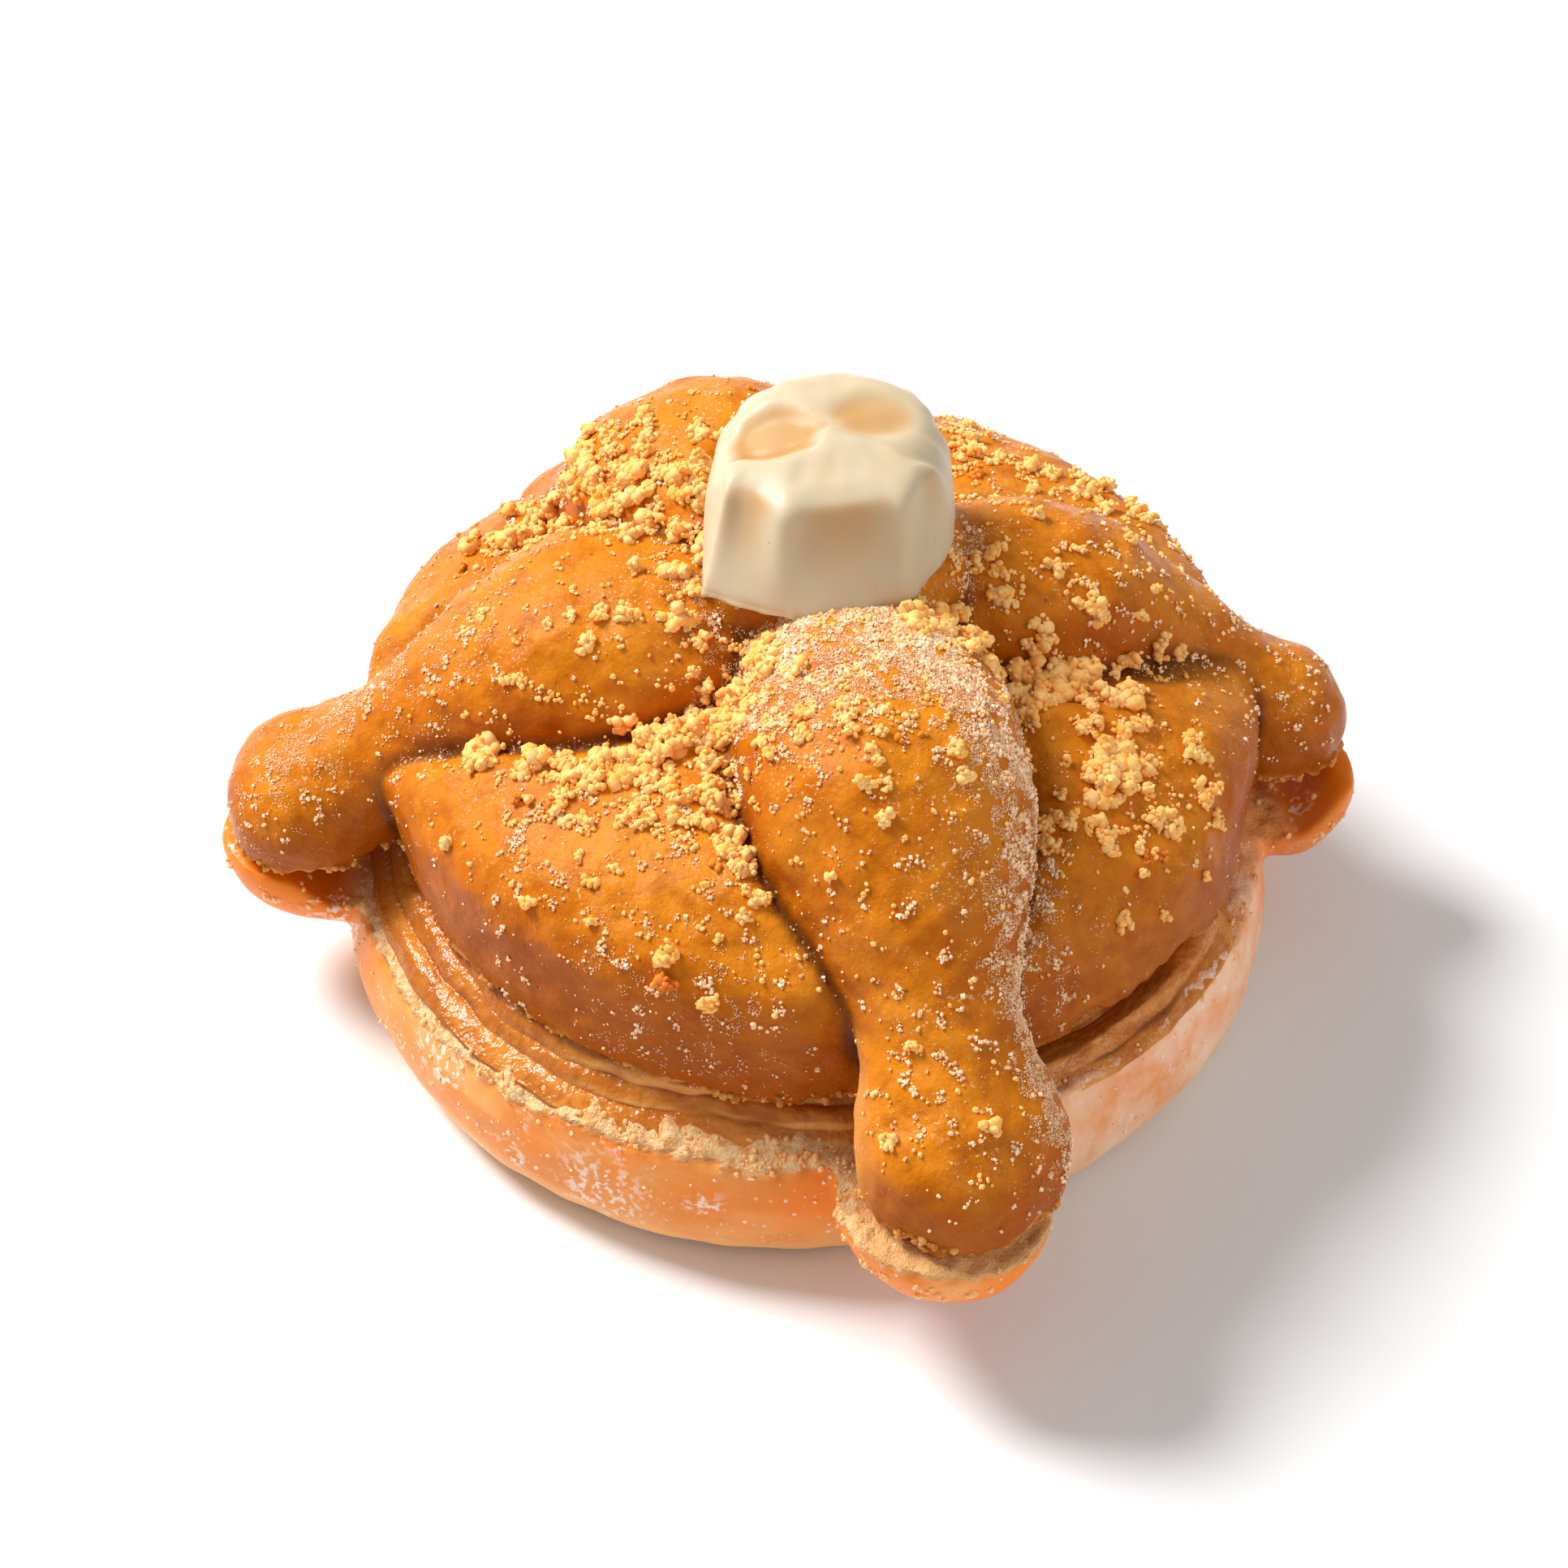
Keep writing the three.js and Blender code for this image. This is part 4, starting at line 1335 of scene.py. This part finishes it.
def grown_clump(size):
    """Places and radii of the grains of one clump, in millimetres, with Z away from the dough."""
    grains = [(np.zeros(3), 0.2 * size)]
    knobs = int(1.5 + 0.9 * size)
    for number in range(int(knobs + 3 + 1.3 * size ** 1.6)):
        beside, beside_radius = grains[rng.integers(min(len(grains), 1 + knobs))]
        radius = rng.uniform(0.12, 0.2) * size if number < knobs else rng.uniform(0.22, 0.44)
        way = rng.normal(size=3) * (1, 1, 0.6)
        way /= np.linalg.norm(way)
        place = beside + way * (beside_radius + 0.15 * radius)
        place[2] = abs(place[2])
        grains.append((place, radius))
    return grains


def clump_grains(drifts, skin):
    """All grains of all clumps of some drifts."""
    places, radii = [], []
    for start, end, spread, count, size in drifts:
        spots, normals = drawn_places(skin, strewn([(start, end, spread, 1)], 0, lying), count)
        for spot, normal in zip(spots, normals):
            turn = Vector(normal).to_track_quat("Z", "Y").to_matrix()
            for place, radius in grown_clump(size * rng.uniform(0.6, 1.5)):
                places.append(spot + np.array(turn @ Vector(place)) * MM)
                radii.append(radius)
    return np.array(places), np.array(radii)


crumb_places, crumb_radii = clump_grains(CLUMP_DRIFTS, upper_skin)
crumbs = heap("cookie_crumbs", ROUND_GRAIN, crumb_places, crumb_radii, 0.35)

# %% [markdown]
# Finer crumbs lie thinly round the clumps, and more of them on the front bone below the skull. They gather
# in little groups, so far more places are drawn than are kept.

# %% Fine crumbs
FINE_DRAWS = 22000
SPREAD_OUT = [(start, end, 1.5 * spread + 1, count * size / 12)
              for start, end, spread, count, size in CLUMP_DRIFTS]
FROST = [
    ((-5, -12), (10, -12), 3.5, 4),
    ((-2, -22), (10, -20), 5.5, 2.5),
]
spots, normals = drawn_places(upper_skin, strewn(SPREAD_OUT + FROST, 0.07, lying), FINE_DRAWS)
kept = clumpy(spots, 2.2, 0.3 - 0.3 * np.clip(drifted(spots, FROST) / 3, 0, 1), 3)
fine_places = spots[kept] + normals[kept] * 0.12 * MM
fine_crumbs = heap("fine_crumbs", ROUND_GRAIN, fine_places, rng.uniform(0.12, 0.36, len(fine_places)), 0.35)

# %% [markdown]
# A few bits of the cookies were toasted darker. They are clumps like the others, in a colour of their own.

# %% Toasted crumbs
TOASTED = [
    ((-16, -43.5), (-16, -43.5), 0.5, 2, 2.2),
    ((36, -27), (37, -25), 0.8, 2, 2.6),
    ((-11, -33), (-11, -33), 0.6, 2, 2.0),
    ((30, -14), (30, -13), 0.8, 1, 2.2),
    ((-18, -22), (-28, -22), 3.0, 4, 1.8),
    ((6, -25), (10, -28), 2.0, 2, 1.8),
    ((-28, 18), (8, 28), 8.0, 6, 2.0),
]
toasted_places, toasted_radii = clump_grains(TOASTED, upper_skin)
toasted = heap("toasted_crumbs", ROUND_GRAIN, toasted_places, toasted_radii, 0.35)

# %% [markdown]
# ## Sugar
#
# Granulated sugar is a few tenths of a millimetre across: little glassy blocks that look white where they
# lie thick. It frosts the front bone below the skull, and lies in small groups everywhere else.

# %% Sugar crystals
SUGAR_DRAWS = 52000
LOW_SUGAR_DRAWS = 500


def clinging(slack):
    """Sugar clings to butter on steep dough too, down to where the skin faces the table by some slack."""
    return lambda facing: np.clip(facing[:, 2] + slack, 0, 0.6)


def low_side(at, facing):
    """The side of the lower half, where a little sugar has fallen."""
    return (facing[:, 2] > -0.3) * (at[:, 2] > 4 * MM) * (at[:, 2] < 16 * MM)


SUGAR_DRIFTS = [
    ((-6, -11), (11, -11), 3.5, 4),
    ((-2, -20), (12, -19), 6.0, 3),
    ((12, -14), (20, -27), 3.0, 3),
    ((21, -28), (21, -45), 2.4, 2.5),
    ((11, -50), (12, -58), 3.0, 2.2),
    ((15, -64), (25, -62), 3.0, 2),
    ((-30, -27), (-8, -26), 6.0, 3),
    ((-22, -39), (-15, -46), 2.6, 3),
    ((-12, -39), (-5, -46), 3.0, 3),
    ((-34, -30), (-34, -35), 1.8, 2.5),
    ((-14, -2), (-12, -12), 3.0, 3),
    ((-61, -9), (-58, -14), 4.0, 3),
    ((-50, -2), (-40, -6), 4.0, 2.4),
    ((24, -28), (25, -37), 2.5, 4),
    ((4, -18), (15, -50), 8.0, 1.3),
    ((15, 2), (17, 8), 2.5, 3),
    ((30, 4), (55, 8), 5.0, 1.4),
    ((-35, 24), (-14, 8), 5.0, 3),
    ((6, 18), (16, 42), 6.0, 3),
]
spots, normals = drawn_places(upper_skin, strewn(SUGAR_DRIFTS, 0.25, clinging(0.25)), SUGAR_DRAWS)
thick = np.clip(drifted(spots, SUGAR_DRIFTS[:4]) / 4, 0, 1)
kept = clumpy(spots, 1.9, 0.34 - 0.4 * thick, 8) | (rng.random(len(spots)) < 0.01)
low_spots, _ = drawn_places(lower_skin, low_side, LOW_SUGAR_DRAWS)
sugar_places = np.concatenate([spots[kept] + normals[kept] * 0.1 * MM, low_spots])
sugar_radii = 0.08 + 0.17 * rng.random(len(sugar_places)) ** 1.5
sugar = heap("sugar_crystals", SQUARE_GRAIN, sugar_places, sugar_radii, 0.35)

# %% [markdown]
# The finest sugar is a white dust. It lies thick on the front bone, most of all along its right edge.

# %% Sugar frost
DUST_DRAWS = 82000
DUST_DRIFTS = [
    ((-6, -11), (11, -11), 3.5, 9),
    ((-2, -19), (11, -19), 6.5, 7),
    ((11, -14), (18.5, -27), 4.0, 7),
    ((19, -28), (20.5, -45), 3.2, 5),
    ((22, -48), (25, -58), 2.6, 7),
    ((-63, -6), (-54, -1), 4.0, 4),
    ((24, -28), (25, -37), 2.5, 4),
    ((15, 2), (17, 8), 2.5, 4),
    ((-14, -2), (-12, -12), 3.0, 3),
    ((-52, 0), (-40, -4), 5.0, 2),
    ((-22, -39), (-8, -46), 4.0, 1.6),
]
spots, normals = drawn_places(upper_skin, strewn(DUST_DRIFTS, 0.08, clinging(0.35)), DUST_DRAWS)
thick = np.clip(drifted(spots, DUST_DRIFTS) / 6, 0, 1)
kept = clumpy(spots, 1.6, 0.24 - 0.5 * thick, 5)
dust_places = spots[kept] + normals[kept] * 0.04 * MM
frost = heap("sugar_frost", DUST_GRAIN, dust_places, rng.uniform(0.06, 0.13, len(dust_places)), 0.3)

# %% [markdown]
# ## Torn edges
#
# Where the roll was split, scraps of crust and crumb hang on the edges. They are grains like the toppings,
# drawn on the strip of skin along each cut. On the soaked side at the right only a few show.

# %% Torn edges
FLAKE_DRAWS = 2600
SCRAP_DRAWS = 5200


def along_edge(height, reach):
    """Weights the outer line of a cut at a height in millimetres."""
    def weight(at, facing):
        radius = np.hypot(at[:, 0] - LOAF_MIDDLE.x, at[:, 1] - LOAF_MIDDLE.y) / MM
        return np.exp(-(((at[:, 2] / MM - height) / reach) ** 2)) * (radius > 44)
    return weight


spots, _ = drawn_places(upper_skin, along_edge(LID_CUT - 0.2, 0.6), FLAKE_DRAWS)
kept = clumpy(spots, 3, -0.05, 2)
flakes = heap("crust_flakes", ROUND_GRAIN, spots[kept], rng.uniform(0.2, 0.55, kept.sum()), 0.4)
spots, _ = drawn_places(lower_skin, along_edge(CUT - 1, 1.2), SCRAP_DRAWS)
kept = clumpy(spots, 3.2, 0.0, 6)
soaked = (spots[:, 0] > LOAF_MIDDLE.x + 20 * MM) & (spots[:, 1] < LOAF_MIDDLE.y + 10 * MM)
kept &= ~soaked | (rng.random(len(spots)) < 0.2)
scraps = heap("torn_crumb", ROUND_GRAIN, spots[kept], 0.12 + 0.4 * rng.random(kept.sum()) ** 2, 0.4)

# %% [markdown]
# ## Finishes of the toppings
#
# Crumbs and scraps are dull. Each finish changes a little from grain to grain, which a noise about as
# coarse as the grains gives. Sugar could be clear glass, but thousands of clear grains take long to render.
# It is opaque here, nearly white with a warm cast, as real grains pick up the caramel below them.

# %% Finishes of the toppings
def crumb_paint(name, pale, deep):
    paint = Paint(name)
    paint.ground(pale, deep, paint.band(paint.noise(1.7, 3, 0.6), 0.35, 0.68))
    paint.shine(Roughness=0.75, Specular_IOR_Level=0.1)
    paint.bump(paint.noise(0.35, 3, 0.6), 0.1, 0.7)
    return paint.finished()


def sugar_paint():
    paint = Paint("sugar")
    paint.ground((252, 222, 184), (246, 196, 144), paint.band(paint.noise(0.9, 2), 0.4, 0.6))
    paint.shine(Roughness=0.3, Specular_IOR_Level=0.5)
    return paint.finished()


finish_piece(crumbs, crumb_paint("cookie_crumb", (254, 208, 134), (255, 182, 84)))
finish_piece(fine_crumbs, crumb_paint("fine_crumb", (255, 212, 140), (255, 182, 88)))
finish_piece(toasted, crumb_paint("toasted_crumb", (240, 150, 56), (206, 104, 30)))
finish_piece(sugar, sugar_paint(), rounded=False)
finish_piece(frost, sugar.data.materials[0], rounded=False)
finish_piece(flakes, crumb_paint("crust_flake", (230, 160, 84), (190, 112, 44)))
finish_piece(scraps, crumb_paint("torn_crumb", (255, 206, 146), (250, 178, 108)))
